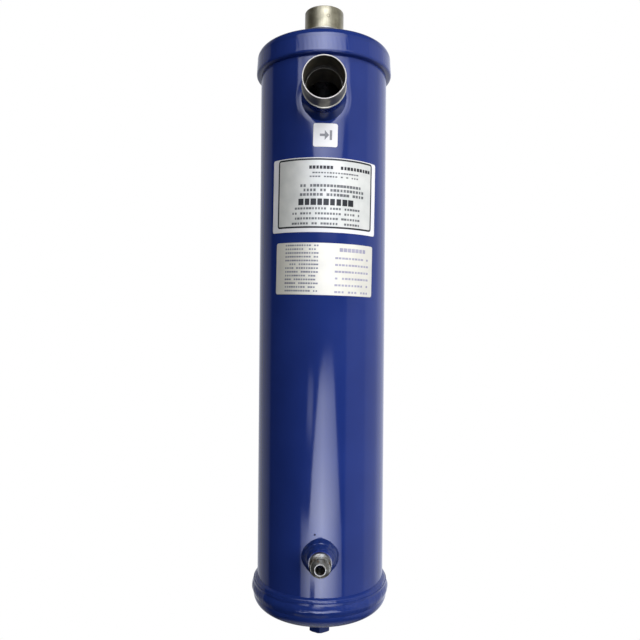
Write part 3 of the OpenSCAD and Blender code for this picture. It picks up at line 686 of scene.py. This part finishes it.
STUB_R = 14.3 * MM
INLET_TOE = 17.2 * MM
INLET_TOE_BELOW = 19.8 * MM
inlet_face = bezier([(STUB_R, 5 * MM), (15.2 * MM, 1.6 * MM), (INLET_TOE, -1 * MM)], 28)
below_stretch = (INLET_TOE_BELOW - STUB_R) / (INLET_TOE - STUB_R)
port_weld("inlet_weld_fillet", "inlet_weld", INLET_Z, STUB_R, inlet_face,
          lambda angle: 1 + (below_stretch - 1) * max(0.0, -math.sin(angle)) ** 2,
          bead(1.0, 3.5, 1.0, 0.0, 0.06, 9))

NECK_R = 9 * MM
OIL_SQUARENESS = 0.12
oil_handles = [(9, 8), (10.4, 6.2), (11.2, 4.4), (12, 3.6), (13.2, 1.2), (14.1, -0.1)]
oil_face = smooth_through([(r * MM, h * MM) for r, h in oil_handles], 8)
port_weld("oil_return_weld_beads", "oil_return_weld", OIL_Z, NECK_R, oil_face,
          lambda angle: 1 - OIL_SQUARENESS * math.sin(2 * angle) ** 2,
          bead(5.0, 5.0, 1.5, 0.1, 1.6, 5.5))
print("port welds reach", round(INLET_TOE / MM, 1), "and", oil_handles[-1][0], "mm from their axes")

# %% [markdown]
# The outlet and the boss stand on the crowns of the caps. Their welds are plain fillets: a strip that
# starts on the post and runs out onto the crown. The boss is a hexagon, so its strip follows that.

# %% Welds on the crowns
BOSS_FLATS = 16 * MM
FILLET_SWELL = 0.62
CROWN_WELD_STEPS = 288
FINE_BEAD = (2.6, 0.8, 0.1, 0.3, 6)


def crown_height(r):
    """Height of a cap's crown above the edge of its skirt, at a radius."""
    return CROWN_Z + math.sqrt(CAP_CROWN ** 2 - r ** 2)


def hexagon_r(angle):
    """Radius of the boss's hexagon at an angle, with a corner to the front."""
    from_flat = (angle + math.pi / 6) % (math.pi / 3) - math.pi / 6
    return BOSS_FLATS / 2 / math.cos(from_flat)


def crown_weld(name, node, post, leg, edge_z, into_cap, seed):
    """A fillet round a post on a crown. post(angle) is the post's radius."""
    def strip(angle):
        post_r = post(angle)
        base = crown_height(post_r)
        head = (post_r, base + leg)
        swell = (post_r + FILLET_SWELL * leg, base + FILLET_SWELL * leg)
        foot = (post_r + leg, crown_height(post_r + leg) - WELD_SINK)
        back = [(post_r + 0.5 * leg, base - 4 * WELD_SINK), (post_r - WELD_SINK, base - 4 * WELD_SINK)]
        return ring_row(angle, bezier([head, swell, foot], 12), back, edge_z, into_cap)

    weld_piece(name, node, strip, CROWN_WELD_STEPS, post(0.0) + leg / 2, bead(seed, *FINE_BEAD))


crown_weld("outlet_weld_bead", "outlet_weld", lambda angle: STUB_R, 4 * MM, TOP_EDGE_Z, 1, 11.0)
crown_weld("mounting_boss_weld_bead", "mounting_boss_weld", hexagon_r, 3 * MM, BOTTOM_EDGE_Z, -1, 12.0)
print("crown welds stand on", round(crown_height(STUB_R) / MM, 1), "mm of cap")

# %% [markdown]
# ## Pipe stubs
# The inlet and the outlet are drawn steel tube, opened out at the end to take a copper pipe for
# brazing. Paint stops behind the socket, so the ends are bare: a grey metal with a faint warm film
# of oil, fine lines along the tube, and a bright cut rim. The enamel and the steel are mixed in one
# material by the distance along the tube, with a slightly ragged edge where the spray ended.

# %% Bare drawn steel
def enamelled(tree, bare, along, paint_from, paint_to, gloss):
    """End a material in a bare metal that the enamel covers, from one place along it to another."""
    paint = add(tree, "BsdfPrincipled", {"Base Color": linear("#1d2f73"), "Roughness": gloss, "IOR": 1.52})
    painted = add(tree, "MapRange", {"Value": along, "From Min": paint_from, "From Max": paint_to})
    coat = add(tree, "MixShader", {0: painted, 1: bare, 2: paint})
    add(tree, "OutputMaterial", {"Surface": coat})


def drawn_steel(name, axis, paint_from, paint_to, tones, dimple):
    """Drawn tube, bare beyond paint_from and enamelled by paint_to, measured along an axis.
    The shoulder next to the paint is painted lighter, a painted highlight of the ring there. dimple is the
    place of one small round mark.
    Real draw lines are finer than these, which are as coarse as they need to be to show."""
    material, tree, place = new_material(name)
    scale = [1 / (0.7 * MM)] * 3
    scale[axis] = 1 / (30 * MM)
    lines = add(tree, "Mapping", {"Vector": place, "Scale": scale})
    draw = add(tree, "TexNoise", {"Vector": lines, "Scale": 1.0, "Detail": 3.0})
    film = add(tree, "TexNoise", {"Vector": place, "Scale": 1 / (9 * MM), "Detail": 3.0})
    both = add(tree, "Mix", {"Factor": 0.75, "A": draw, "B": film})
    tone = add(tree, "ValToRGB", {"Fac": both})
    ramp_stops(tone, [(0.36, linear(tones[0])), (0.64, linear(tones[1]))])
    dull = add(tree, "MapRange", {
        "Value": both, "From Min": 0.3, "From Max": 0.7, "To Min": 0.42, "To Max": 0.3})
    bump = add(tree, "Bump", {"Height": draw, "Strength": 0.15, "Distance": 0.04 * MM})
    parts = add(tree, "SeparateXYZ", {0: place}).outputs
    ragged = add(tree, "Math", {0: film, 1: 1.2 * MM, 2: parts[axis]}, operation="MULTIPLY_ADD")
    step = paint_to - paint_from
    # A lighter colour just beside the paint line: a painted highlight of the shoulder ring.
    painted_highlight_band = add(tree, "MapRange", {
        "Value": ragged, "From Min": paint_from - 3 * step, "From Max": paint_from - step})
    bright = add(tree, "Mix", {"Factor": painted_highlight_band, 6: tone, 7: linear("#e6e2cf")}, data_type="RGBA")
    ring = add(tree, "Math", {
        0: spot(tree, place, dimple, 1.7), 1: spot(tree, place, dimple, 1.0)}, operation="SUBTRACT")
    marked = add(tree, "Mix", {
        "Factor": ring, 6: bright.outputs[2], 7: linear("#6d6650")}, data_type="RGBA")
    steel = add(tree, "BsdfPrincipled", {
        "Base Color": marked.outputs[2], "Metallic": 0.8, "Roughness": dull, "Normal": bump})
    enamelled(tree, steel, ragged, paint_from, paint_to, 0.12)
    return material


def tube_end_steel(name, tones, metal=0.35, dull=0.55):
    """Steel at the tubes' open ends: dark inside, as painted shade of the bore and its step,
    and bright on the cut rim, so that the ring stands out all round."""
    material, tree, place = new_material(name)
    _, tone = mottle(tree, place, 6, zip((0.35, 0.7), tones))
    steel = add(tree, "BsdfPrincipled", {"Base Color": tone, "Metallic": metal, "Roughness": dull})
    add(tree, "OutputMaterial", {"Surface": steel})
    return material


# The bore's dark tones and the step's darker ones are painted shade: the step faces the light, so it is
# darkest.
BORE = tube_end_steel("bore_steel_painted_shade", ("#4a473e", "#5f5848"))
STEP = tube_end_steel("step_steel_painted_shade", ("#26241f", "#36322a"))
CUT_STEEL = tube_end_steel("bright_cut_steel", ("#a39f95", "#a39f95"), 0.8, 0.45)
print("tube ends:", BORE.name, STEP.name, CUT_STEEL.name)

# %% Sockets
SOCKET_IR = 14.35 * MM
INLET_SOCKET_OR = 15.3 * MM
OUTLET_SOCKET_OR = 15.7 * MM
STUB_IR = 12.9 * MM
SOCKET_DEPTH = 17 * MM
SOCKET_TAPER = 2.7 * MM
SOCKET_SHOULDER = 1.2 * MM
SOCKET_HEEL = 0.75 * MM
HEEL_INSET = 0.15 * MM
LIP = 0.3 * MM
PAINT_GAP = 0.9 * MM
PAINT_FADE = 0.8 * MM


def socket_mesh(name, inner_end, rim, socket_or, place):
    """Stub and socket along Z, from the inner end to the rim, both given from the origin."""
    shoulder = rim - SOCKET_DEPTH
    step = shoulder - SOCKET_SHOULDER
    section = ([(STUB_IR, inner_end), (STUB_R, inner_end), (STUB_R, shoulder - SOCKET_TAPER)]
               + arc((socket_or - HEEL_INSET, shoulder), SOCKET_HEEL, -80, 75, 12)
               + arc((socket_or - LIP, rim - LIP), LIP, 0, 90, 4)
               + arc((SOCKET_IR + LIP, rim - LIP), LIP, 90, 180, 4)
               + [(SOCKET_IR, shoulder), (STUB_IR + LIP, step), (STUB_IR, step)])
    return turned_mesh(name, section, place, 144)


def link_socket(name, node, mesh, material, start, axis):
    """Give the inward faces the bore's and the step's dark tones, which are painted shade, the rim a bright
    cut, and the rest the drawn steel.
    """
    link_piece(name, mesh, material, "bare_steel", node)
    for inner in (BORE, CUT_STEEL, STEP):
        mesh.materials.append(inner)
    rim = max((v.co - start).dot(axis) for v in mesh.vertices)
    for polygon in mesh.polygons:
        spoke = polygon.center - start
        along = spoke.dot(axis)
        spoke -= axis * along
        ahead = polygon.normal.dot(axis)
        inward = -spoke.normalized().dot(polygon.normal)
        # The cut rim is bright bare steel. The step's thin inner edge takes the same bright steel as a
        # painted highlight.
        if along > rim - 0.5 * LIP or spoke.length < STUB_IR + LIP and ahead > 0.9:
            polygon.material_index = 2
        elif inward > 0.3 and spoke.length < SOCKET_IR + 0.05 * MM:
            polygon.material_index = 3 if ahead > 0.3 else 1


inlet_low, inlet_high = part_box("inlet_stub")
outlet_low, outlet_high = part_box("outlet_stub")
INLET_PAINT_Y = inlet_low.y + SOCKET_DEPTH + PAINT_GAP
OUTLET_PAINT_Z = outlet_high.z - SOCKET_DEPTH - PAINT_GAP
# The inlet is the same drawn tube as the outlet; its darker tones are painted shade.
inlet_steel = drawn_steel("drawn_steel_inlet", 1, INLET_PAINT_Y, INLET_PAINT_Y + PAINT_FADE,
                          ("#5c594e", "#7d7863"), (15.3, -80, 420))
outlet_steel = drawn_steel("drawn_steel_outlet", 2, OUTLET_PAINT_Z, OUTLET_PAINT_Z - PAINT_FADE,
                           ("#7d7863", "#aea88e"), (3.2, -15.4, 494))
inlet_tube = socket_mesh("inlet_socket_stub", -inlet_high.y, -inlet_low.y, INLET_SOCKET_OR,
                         facing_front(INLET_Z))
outlet_tube = socket_mesh("outlet_socket_stub", outlet_low.z, outlet_high.z, OUTLET_SOCKET_OR, Matrix())
link_socket("inlet_socket_stub", "inlet_stub", inlet_tube, inlet_steel,
            Vector((0, 0, INLET_Z)), Vector((0, -1, 0)))
link_socket("outlet_socket_stub", "outlet_stub", outlet_tube, outlet_steel,
            Vector((0, 0, 0)), Vector((0, 0, 1)))
print("sockets reach", round(-inlet_low.y / MM, 1), "mm forward and", round(outlet_high.z / MM, 1), "mm up")

# %% [markdown]
# ## Oil return fitting
# A male flare fitting of zinc-plated steel, 5/8 inch with 18 threads to the inch. The thread is real
# geometry: the turned section changes with the angle, because the crest climbs one pitch in a turn.
# It runs out into the neck at one end, and down a chamfer to the 45 degree cone at the other.

# %% Thread helper and plated fitting
FLARE_PITCH = 25.4 * MM / 18
FLARE_CREST = 7.9375 * MM
FLARE_DEPTH = 0.87 * MM
FLARE_ROOT = 6.7375 * MM
FLARE_TIP = 4.2 * MM
FLARE_RELIEF = 1.0 * MM
FLARE_BORE = 3.45 * MM
BORE_BREAK = 0.25 * MM
SPIGOT_R = 5.5 * MM
NECK_START = 46 * MM
NECK_END = 62.8 * MM
THREAD_END = 70.8 * MM
THREAD_ROWS = 64
CREST_FLAT = 0.12
fitting_low, fitting_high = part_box("oil_return_fitting")
TIP_END = -fitting_low.y
SPIGOT_END = -fitting_high.y


def thread_r(angle, z, pitch, crest, depth):
    """Radius of a V thread with flat crests and roots, at an angle and a height."""
    phase = (z / pitch - angle / (2 * math.pi)) % 1.0
    fall = (abs(2 * phase - 1) - CREST_FLAT) / (1 - 2 * CREST_FLAT)
    return crest - depth * min(max(fall, 0.0), 1.0)


def fitting_section(angle):
    """Half section of the fitting at one angle, from the spigot to the tip and back down the bore."""
    thread = []
    for s in (NECK_END + (THREAD_END - NECK_END) * i / THREAD_ROWS for i in range(THREAD_ROWS + 1)):
        r = thread_r(angle, s, FLARE_PITCH, FLARE_CREST, FLARE_DEPTH)
        runout = FLARE_ROOT + 0.35 * MM + 1.1 * (THREAD_END - s)
        relief = FLARE_ROOT + 1.6 * max(0.0, s - NECK_END - FLARE_RELIEF)
        thread.append((min(r, runout, relief), s))
    return ([(FLARE_BORE, SPIGOT_END), (SPIGOT_R, SPIGOT_END), (SPIGOT_R, NECK_START),
             (NECK_R, NECK_START), (NECK_R, NECK_END - 0.7 * MM), (NECK_R - 0.5 * MM, NECK_END - 0.05 * MM)]
            + thread
            + [(FLARE_ROOT, THREAD_END), (FLARE_ROOT, TIP_END - (FLARE_ROOT - FLARE_TIP)),
               (FLARE_TIP, TIP_END), (FLARE_BORE + BORE_BREAK, TIP_END), (FLARE_BORE, TIP_END - BORE_BREAK)])


def zinc_plate(name, paint_from, paint_to):
    """Bright zinc plating, a little yellowed, on turned steel; enamelled behind the thread."""
    material, tree, place = new_material(name)
    _, tone = mottle(tree, place, 4, [(0.32, "#5f4d3c"), (0.42, "#6f6c62"), (0.62, "#92928d")])
    plate = add(tree, "BsdfPrincipled", {"Base Color": tone, "Metallic": 0.88, "Roughness": 0.36})
    forward = add(tree, "SeparateXYZ", {0: place}).outputs["Y"]
    enamelled(tree, plate, forward, paint_from, paint_to, 0.14)
    return material


ZINC = zinc_plate("zinc_plated_fitting", -NECK_END - 0.02 * MM, -NECK_END + 0.15 * MM)
link_piece("flare_fitting", lofted_mesh("flare_fitting", fitting_section, facing_front(OIL_Z), 96, 30),
           ZINC, "plated_steel", "oil_return_fitting")
print("flare thread turns:", round((THREAD_END - NECK_END) / FLARE_PITCH, 1))

# %% [markdown]
# ## Mounting boss
# The vessel hangs or stands on one tapped hexagon under its bottom cap. The corners are chamfered by
# a cone, as on any turned nut, so each angle has its own height where the flat meets the cone.

# %% Tapped hexagon
BOSS_CORNER = BOSS_FLATS / 2 / math.cos(math.pi / 6)
BOSS_CHAMFER = 0.8 * MM
BOSS_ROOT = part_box("mounting_boss_weld")[1].z
BOSS_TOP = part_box("mounting_boss")[1].z
BOSS_DEPTH = 15 * MM
BOSS_SPIGOT = 6 * MM
DRILL_POINT = 1.5 * MM
TAP_PITCH = 1.5 * MM
TAP_MINOR = 4.25 * MM
TAP_MAJOR = 5.0 * MM
TAP_LEAD = 0.2 * MM
TAP_ROWS = 70


def boss_section(angle):
    """Half section of the boss at one angle: bore, end face, flat, shoulder and spigot."""
    face_r = BOSS_CORNER - BOSS_CHAMFER
    flat_r = hexagon_r(angle)
    cone_z = max(0.0, flat_r - face_r) * math.tan(math.pi / 6)
    bore = []
    for z in (BOSS_DEPTH * (1 - i / TAP_ROWS) for i in range(TAP_ROWS + 1)):
        r = thread_r(angle, z, TAP_PITCH, TAP_MAJOR, TAP_MAJOR - TAP_MINOR)
        bore.append((max(r, TAP_MAJOR + TAP_LEAD - z), z))
    outside = [(min(face_r, flat_r), 0.0), (flat_r, cone_z), (flat_r, BOSS_ROOT),
               (BOSS_SPIGOT, BOSS_ROOT), (BOSS_SPIGOT, BOSS_TOP), (0.0, BOSS_TOP)]
    return [(0.0, BOSS_DEPTH + DRILL_POINT)] + bore + outside


# The boss wears the darker enamel, which is painted shade.
link_piece("tapped_hexagon", lofted_mesh("tapped_hexagon", boss_section, Matrix(), 192, 25),
           SHADE_DARKENED_ENAMEL, "blue_paint", "mounting_boss")
print("boss tapped to", round(BOSS_DEPTH / MM, 1), "mm")

# %% [markdown]
# ## Stickers
# Three stickers go round the front of the shell: a small one under the inlet, a silver plate label and
# a white notice. Each is laid out flat in millimetres, as a printer would, and then bent round the
# shell by a Geometry Nodes tree. The print is generic: bars stand for lines of words.

# %% Wrapping tree
wrap, given = node_group("wrap_on_shell", Float=("Radius", "Turn", "Tilt", "Height"))
flat = add(wrap, "GeometryNodeInputPosition")
tilted = add(wrap, "VectorRotate", {"Vector": flat, "Angle": given["Tilt"]}, rotation_type="Z_AXIS")
parts = add(wrap, "SeparateXYZ", {0: tilted}).outputs
bend = add(wrap, "Math", {0: parts["X"], 1: given["Radius"]}, operation="DIVIDE")
angle = add(wrap, "Math", {0: bend, 1: given["Turn"]})
out_r = add(wrap, "Math", {0: parts["Z"], 1: given["Radius"]})
sine = add(wrap, "Math", {0: angle}, operation="SINE")
cosine = add(wrap, "Math", {0: angle}, operation="COSINE")
back = add(wrap, "Math", {0: cosine, 1: -1.0}, operation="MULTIPLY")
wrapped_x = add(wrap, "Math", {0: sine, 1: out_r}, operation="MULTIPLY")
wrapped_y = add(wrap, "Math", {0: back, 1: out_r}, operation="MULTIPLY")
wrapped_z = add(wrap, "Math", {0: parts["Y"], 1: given["Height"]})
wrapped = add(wrap, "CombineXYZ", {0: wrapped_x, 1: wrapped_y, 2: wrapped_z})
bent = add(wrap, "GeometryNodeSetPosition", {"Geometry": given["Geometry"], "Position": wrapped})
end_group(wrap, bent, given["Material"])
print("wrapping tree nodes:", len(wrap.nodes))

# %% [markdown]
# Printed lines repeat, so a second tree lays them out: a grid of points, one for each word, with a thin
# bar on each whose length is drawn at random from a fixed seed.

# %% Printing tree
LONGEST_WORD = 0.93
lines, given = node_group(
    "printed_lines", Int=("Lines", "Words", "Seed"), Vector=("Middle",),
    Float=("Pitch", "Slot", "Bar", "Shortest", "Ink", "Kept"))
last_word = add(lines, "Math", {0: given["Words"], 1: 1.0}, operation="SUBTRACT")
last_line = add(lines, "Math", {0: given["Lines"], 1: 1.0}, operation="SUBTRACT")
wide = add(lines, "Math", {0: last_word, 1: given["Slot"]}, operation="MULTIPLY")
tall = add(lines, "Math", {0: last_line, 1: given["Pitch"]}, operation="MULTIPLY")
grid = add(lines, "GeometryNodeMeshGrid", {
    "Size X": wide, "Size Y": tall, "Vertices X": given["Words"], "Vertices Y": given["Lines"]})
bar_size = add(lines, "CombineXYZ", {0: given["Slot"], 1: given["Bar"], 2: given["Ink"]})
bar = add(lines, "GeometryNodeMeshCube", {
    "Size": bar_size, "Vertices X": 7, "Vertices Y": 2, "Vertices Z": 2})
length = add(lines, "FunctionNodeRandomValue", {
    2: given["Shortest"], 3: LONGEST_WORD, "Seed": given["Seed"]}, data_type="FLOAT")
stretch = add(lines, "CombineXYZ", {0: length.outputs[1], 1: 1.0, 2: 1.0})
present = add(lines, "FunctionNodeRandomValue", {
    "Probability": given["Kept"], "Seed": given["Seed"]}, data_type="BOOLEAN")
words = add(lines, "GeometryNodeInstanceOnPoints", {
    "Points": grid, "Selection": present.outputs[3], "Instance": bar, "Scale": stretch})
block = add(lines, "GeometryNodeTransform", {"Geometry": words, "Translation": given["Middle"]})
end_group(lines, block, given["Material"])
print("printing tree nodes:", len(lines.nodes))

# %% [markdown]
# The films are vinyl and metallised polyester. Vinyl is a soft white with a satin gloss, pearly on the
# notice. The metallised film has a silvery field that catches the light, with black ink on it.

# %% Sticker films and inks
def satin_film(name, low_tone, high_tone, gloss=0.5, metal=0.0):
    """Printed plastic film: a faint mottle, satin gloss, and metal where it is metallised."""
    material, tree, place = new_material(name)
    _, tone = mottle(tree, place, 12, [(0.35, low_tone), (0.65, high_tone)])
    grain = add(tree, "TexNoise", {"Vector": place, "Scale": 1 / (1.2 * MM), "Detail": 2.0})
    bump = add(tree, "Bump", {"Height": grain, "Strength": 0.05, "Distance": 0.02 * MM})
    film = add(tree, "BsdfPrincipled", {
        "Base Color": tone, "Metallic": metal, "Roughness": gloss, "Normal": bump})
    add(tree, "OutputMaterial", {"Surface": film})
    return material


VINYL = satin_film("white_vinyl", "#dcdcde", "#e2e2e4", 0.42)
CREAM_VINYL = satin_film("notice_vinyl", "#d8d6cc", "#e0ded3", 0.42, 0.3)
PLATE_WHITE = satin_film("plate_margin_film", "#d8d8dc", "#dfdfe2", 0.4)
PLATE_SILVER = satin_film("metallised_film", "#c4c6c3", "#d2d3cf", 0.45, 0.15)
BLACK_INK = satin_film("black_ink", "#16181a", "#1f2123", 0.45)
GREY_INK = satin_film("grey_ink", "#55575a", "#67696c")
LILAC_INK = satin_film("faded_ink", "#9290a6", "#a4a2b4")
SLATE_INK = satin_film("slate_ink", "#686a78", "#797b88")
SIGN_INK = satin_film("sign_ink", "#77787e", "#85868c")
print("films and inks:", sum(m.name.endswith(("vinyl", "film", "ink")) for m in bpy.data.materials))


# %% Flat shapes
def column_solid(name, columns, low, high):
    """A thin closed solid from columns of (x, bottom, top), between two heights above the shell."""
    points = []
    for x, y0, y1 in columns:
        points += [(x, y0, low), (x, y1, low), (x, y1, high), (x, y0, high)]
    n = len(columns)
    faces = [(4 * i + j, 4 * i + (j + 1) % 4, 4 * i + 4 + (j + 1) % 4, 4 * i + 4 + j)
             for i in range(n - 1) for j in range(4)]
    faces += [(0, 1, 2, 3), tuple(4 * (n - 1) + j for j in range(4))]
    return finished_mesh(name, points, faces)


def rounded_columns(w, h, corner, steps):
    """Columns of a rectangle with round corners, closest together in the corners."""
    bends = [corner * (1 - math.cos(math.radians(9 * i))) for i in range(10)]
    inner = [corner + (w - 2 * corner) * i / steps for i in range(1, steps)]
    columns = []
    for x in bends + inner + [w - b for b in reversed(bends)]:
        side = min(x, w - x, corner)
        half = h / 2 - corner + math.sqrt(max(0.0, corner ** 2 - (corner - side) ** 2))
        columns.append((x - w / 2, -half, half))
    return columns


def rounded_outline(w, h, corner, steps=48):
    """Points round a rectangle with round corners, with steps along its long sides."""
    x, y = w / 2 - corner, h / 2 - corner
    points = []
    for sx, sy, start in ((1, 1, 0), (-1, 1, 90), (-1, -1, 180), (1, -1, 270)):
        points += [(sx * x + px, sy * y + py) for px, py in arc((0, 0), corner, start, start + 90, 6)]
        if start in (0, 180):
            points += [(sx * x * (1 - 2 * i / steps), sy * (y + corner)) for i in range(1, steps)]
    return points


def frame_solid(name, w, h, corner, line, low, high):
    """A line of even width round a rounded rectangle, as a thin closed solid."""
    outer = rounded_outline(w, h, corner)
    inner = rounded_outline(w - 2 * line, h - 2 * line, corner - line)
    rings = ((outer, low), (outer, high), (inner, high), (inner, low))
    return closed_skin(name, [[(x, y, z) for x, y in ring] for ring, z in rings])


# %% Sticker maker
FILM_LOW = 0.1 * MM
FILM_HIGH = 0.3 * MM
INK_HIGH = 0.34 * MM
OVERLAP = 0.02 * MM
INK_LOW = FILM_HIGH - OVERLAP
STICKER_CORNER = 1.6 * MM


def sticker_place(node, turn, tilt):
    """The inputs that bend a flat shape round the shell where a CAD sticker is."""
    return {"Radius": SHELL_R, "Turn": math.radians(turn), "Tilt": math.radians(tilt),
            "Height": middle_z(node)}


def bent_piece(name, mesh, place, material, slot, *replaced):
    """Bend a flat mesh round the shell and make it a piece."""
    bent_mesh = grown_mesh(name, mesh, wrap, {**place, "Material": material})
    link_piece(name, bent_mesh, material, slot, *replaced)


def film_piece(name, w, h, place, material, slot, node, steps=64):
    """A sticker's film: a rounded rectangle, with its sides in millimetres."""
    columns = rounded_columns(w * MM, h * MM, STICKER_CORNER, steps)
    bent_piece(name, column_solid(name, columns, FILM_LOW, FILM_HIGH), place, material, slot, node)


def printed_piece(name, blocks, place, material, slot):
    """Print blocks of lines in one ink. A block is (middle x, middle y, lines, pitch, words, slot,
    bar height, shortest word, share of words kept, seed), with lengths in millimetres."""
    joined = bmesh.new()
    for x, y, count, pitch, words, slot_w, bar, shortest, kept, seed in blocks:
        joined.from_mesh(grown_mesh("block", bpy.data.meshes.new("block"), lines, {
            "Lines": count, "Words": words, "Pitch": pitch * MM, "Slot": slot_w * MM, "Bar": bar * MM,
            "Shortest": shortest, "Middle": (x * MM, y * MM, (FILM_HIGH + INK_HIGH) / 2),
            "Ink": INK_HIGH - INK_LOW, "Kept": kept, "Seed": seed, "Material": material}))
    mesh = bpy.data.meshes.new(name)
    joined.to_mesh(mesh)
    joined.free()
    bent_piece(name, mesh, place, material, slot)


print("ink stands", round((INK_HIGH - FILM_HIGH) / MM, 2), "mm above the film")

# %% [markdown]
# The sign under the inlet is an arrow that meets a bar, the plain mark for a way in.

# %% Inlet sticker
inlet_place = sticker_place("inlet_label", 1.6, -1.0)
film_piece("inlet_sticker", 18, 17.3, inlet_place, VINYL, "white_label", "inlet_label", 40)
sign = {
    "shaft": [(x, 0.9) for x in (-4.2, -3.0, -1.8, -0.6)],
    "head": [(x, 1.15 * (2.6 - x)) for x in (-0.6, 0.6, 1.8, 2.6)],
    "bar": [(x, 3.6) for x in (3.1, 4.0, 4.8)]}
for part, halves in sign.items():
    columns = [(x * MM, -half * MM, half * MM) for x, half in halves]
    solid = column_solid("inlet_sign_" + part, columns, INK_LOW, INK_HIGH)
    bent_piece("inlet_sign_" + part, solid, inlet_place, SIGN_INK, "white_label")
print("inlet sticker at", round(inlet_place["Height"] / MM, 1))

# %% Plate sticker
FIELD_W = 77.3 * MM
FIELD_H = 51.4 * MM
FIELD_CORNER = 2.2 * MM
FIELD_SHIFT = (0.6 * MM, 1.2 * MM)
BORDER_LINE = 1.3 * MM
plate_place = sticker_place("rating_label", 1.5, -1.0)
film_piece("plate_sticker", 87, 55, plate_place, PLATE_WHITE, "silver_label", "rating_label")
field = column_solid("plate_field", rounded_columns(FIELD_W, FIELD_H, FIELD_CORNER, 64),
                     INK_LOW, FILM_HIGH + OVERLAP)
border = frame_solid("plate_border", FIELD_W, FIELD_H, FIELD_CORNER, BORDER_LINE, INK_LOW, INK_HIGH)
for name, mesh, film in (("plate_field", field, PLATE_SILVER), ("plate_border", border, BLACK_INK)):
    mesh.transform(Matrix.Translation((*FIELD_SHIFT, 0)))
    bent_piece(name, mesh, plate_place, film, "silver_label")
printed_piece("plate_print_bold", [
    (11.0, 20.3, 1, 0, 20, 2.6, 2.4, 0.6, 0.9, 2),
    (1.0, -5.2, 1, 0, 9, 4.7, 4.8, 0.7, 1.0, 4)], plate_place, BLACK_INK, "silver_label")
printed_piece("plate_print_lines", [
    (7.0, 14.9, 2, 2.8, 18, 2.1, 1.1, 0.5, 0.85, 5),
    (6.0, 3.5, 3, 3.3, 20, 2.5, 2.0, 0.55, 0.9, 6),
    (1.4, -15.6, 4, 3.7, 24, 2.2, 1.6, 0.5, 0.88, 7)], plate_place, GREY_INK, "silver_label")
print("plate sticker at", round(plate_place["Height"] / MM, 1))

# %% Notice sticker
notice_place = sticker_place("notice_label", 2.1, -1.2)
film_piece("notice_sticker", 80, 38.4, notice_place, CREAM_VINYL, "white_label", "notice_label")
printed_piece("notice_print_left", [
    (-18.3, 0.4, 13, 2.8, 14, 1.9, 1.2, 0.5, 0.88, 9)], notice_place, SLATE_INK, "white_label")
printed_piece("notice_print", [
    (21.4, 14.5, 1, 0, 7, 3.2, 2.8, 0.7, 1.0, 10),
    (21.4, -4.2, 6, 5.0, 11, 2.6, 1.5, 0.55, 0.92, 14)], notice_place, LILAC_INK, "white_label")
print("notice sticker at", round(notice_place["Height"] / MM, 1))

# %% [markdown]
# ## Inner pieces
# Nothing inside shows through the closed shell, but the parts are there and move: screens, helix and
# baffle of bright sheet steel, a brass valve and arm, a hollow steel float and a ferrite magnet. Their
# CAD meshes keep their shapes and get real finishes.

# %% Metals inside
def worked_metal(name, low_tone, high_tone, dull, grain_mm, metal=1.0):
    """Sheet, turned or sintered metal: two tones, a grain size in millimetres, and a roughness."""
    material, tree, place = new_material(name)
    grain, tone = mottle(tree, place, grain_mm, [(0.35, low_tone), (0.65, high_tone)])
    rough = add(tree, "MapRange", {
        "Value": grain, "From Min": 0.3, "From Max": 0.7, "To Min": 0.8 * dull, "To Max": 1.2 * dull})
    bump = add(tree, "Bump", {"Height": grain, "Strength": 0.1, "Distance": 0.03 * MM})
    surface = add(tree, "BsdfPrincipled", {
        "Base Color": tone, "Metallic": metal, "Roughness": rough, "Normal": bump})
    add(tree, "OutputMaterial", {"Surface": surface})
    return material


inside = {
    worked_metal("rolled_sheet_steel", "#9d9fa0", "#b7b9ba", 0.32, 2.5):
        ("centre_tube", "helix_flight", "wall_screen", "outlet_screen", "baffle"),
    worked_metal("turned_steel", "#a6a6a2", "#c2c2bd", 0.25, 0.8):
        ("valve_seat", "needle", "pivot_pin", "pivot_clip"),
    worked_metal("turned_brass", "#b08d4a", "#c9a763", 0.28, 1.5): ("valve_body", "float_arm"),
    worked_metal("deep_drawn_steel", "#a9abac", "#c4c6c7", 0.22, 6.0): ("float_ball",),
    worked_metal("sintered_ferrite", "#242426", "#303033", 0.55, 1.0, 0.1): ("magnet",)}
for metal, names in inside.items():
    for name in names:
        nodes[name].data.materials.clear()
        nodes[name].data.materials.append(metal)
print("inner pieces:", sum(len(names) for names in inside.values()))
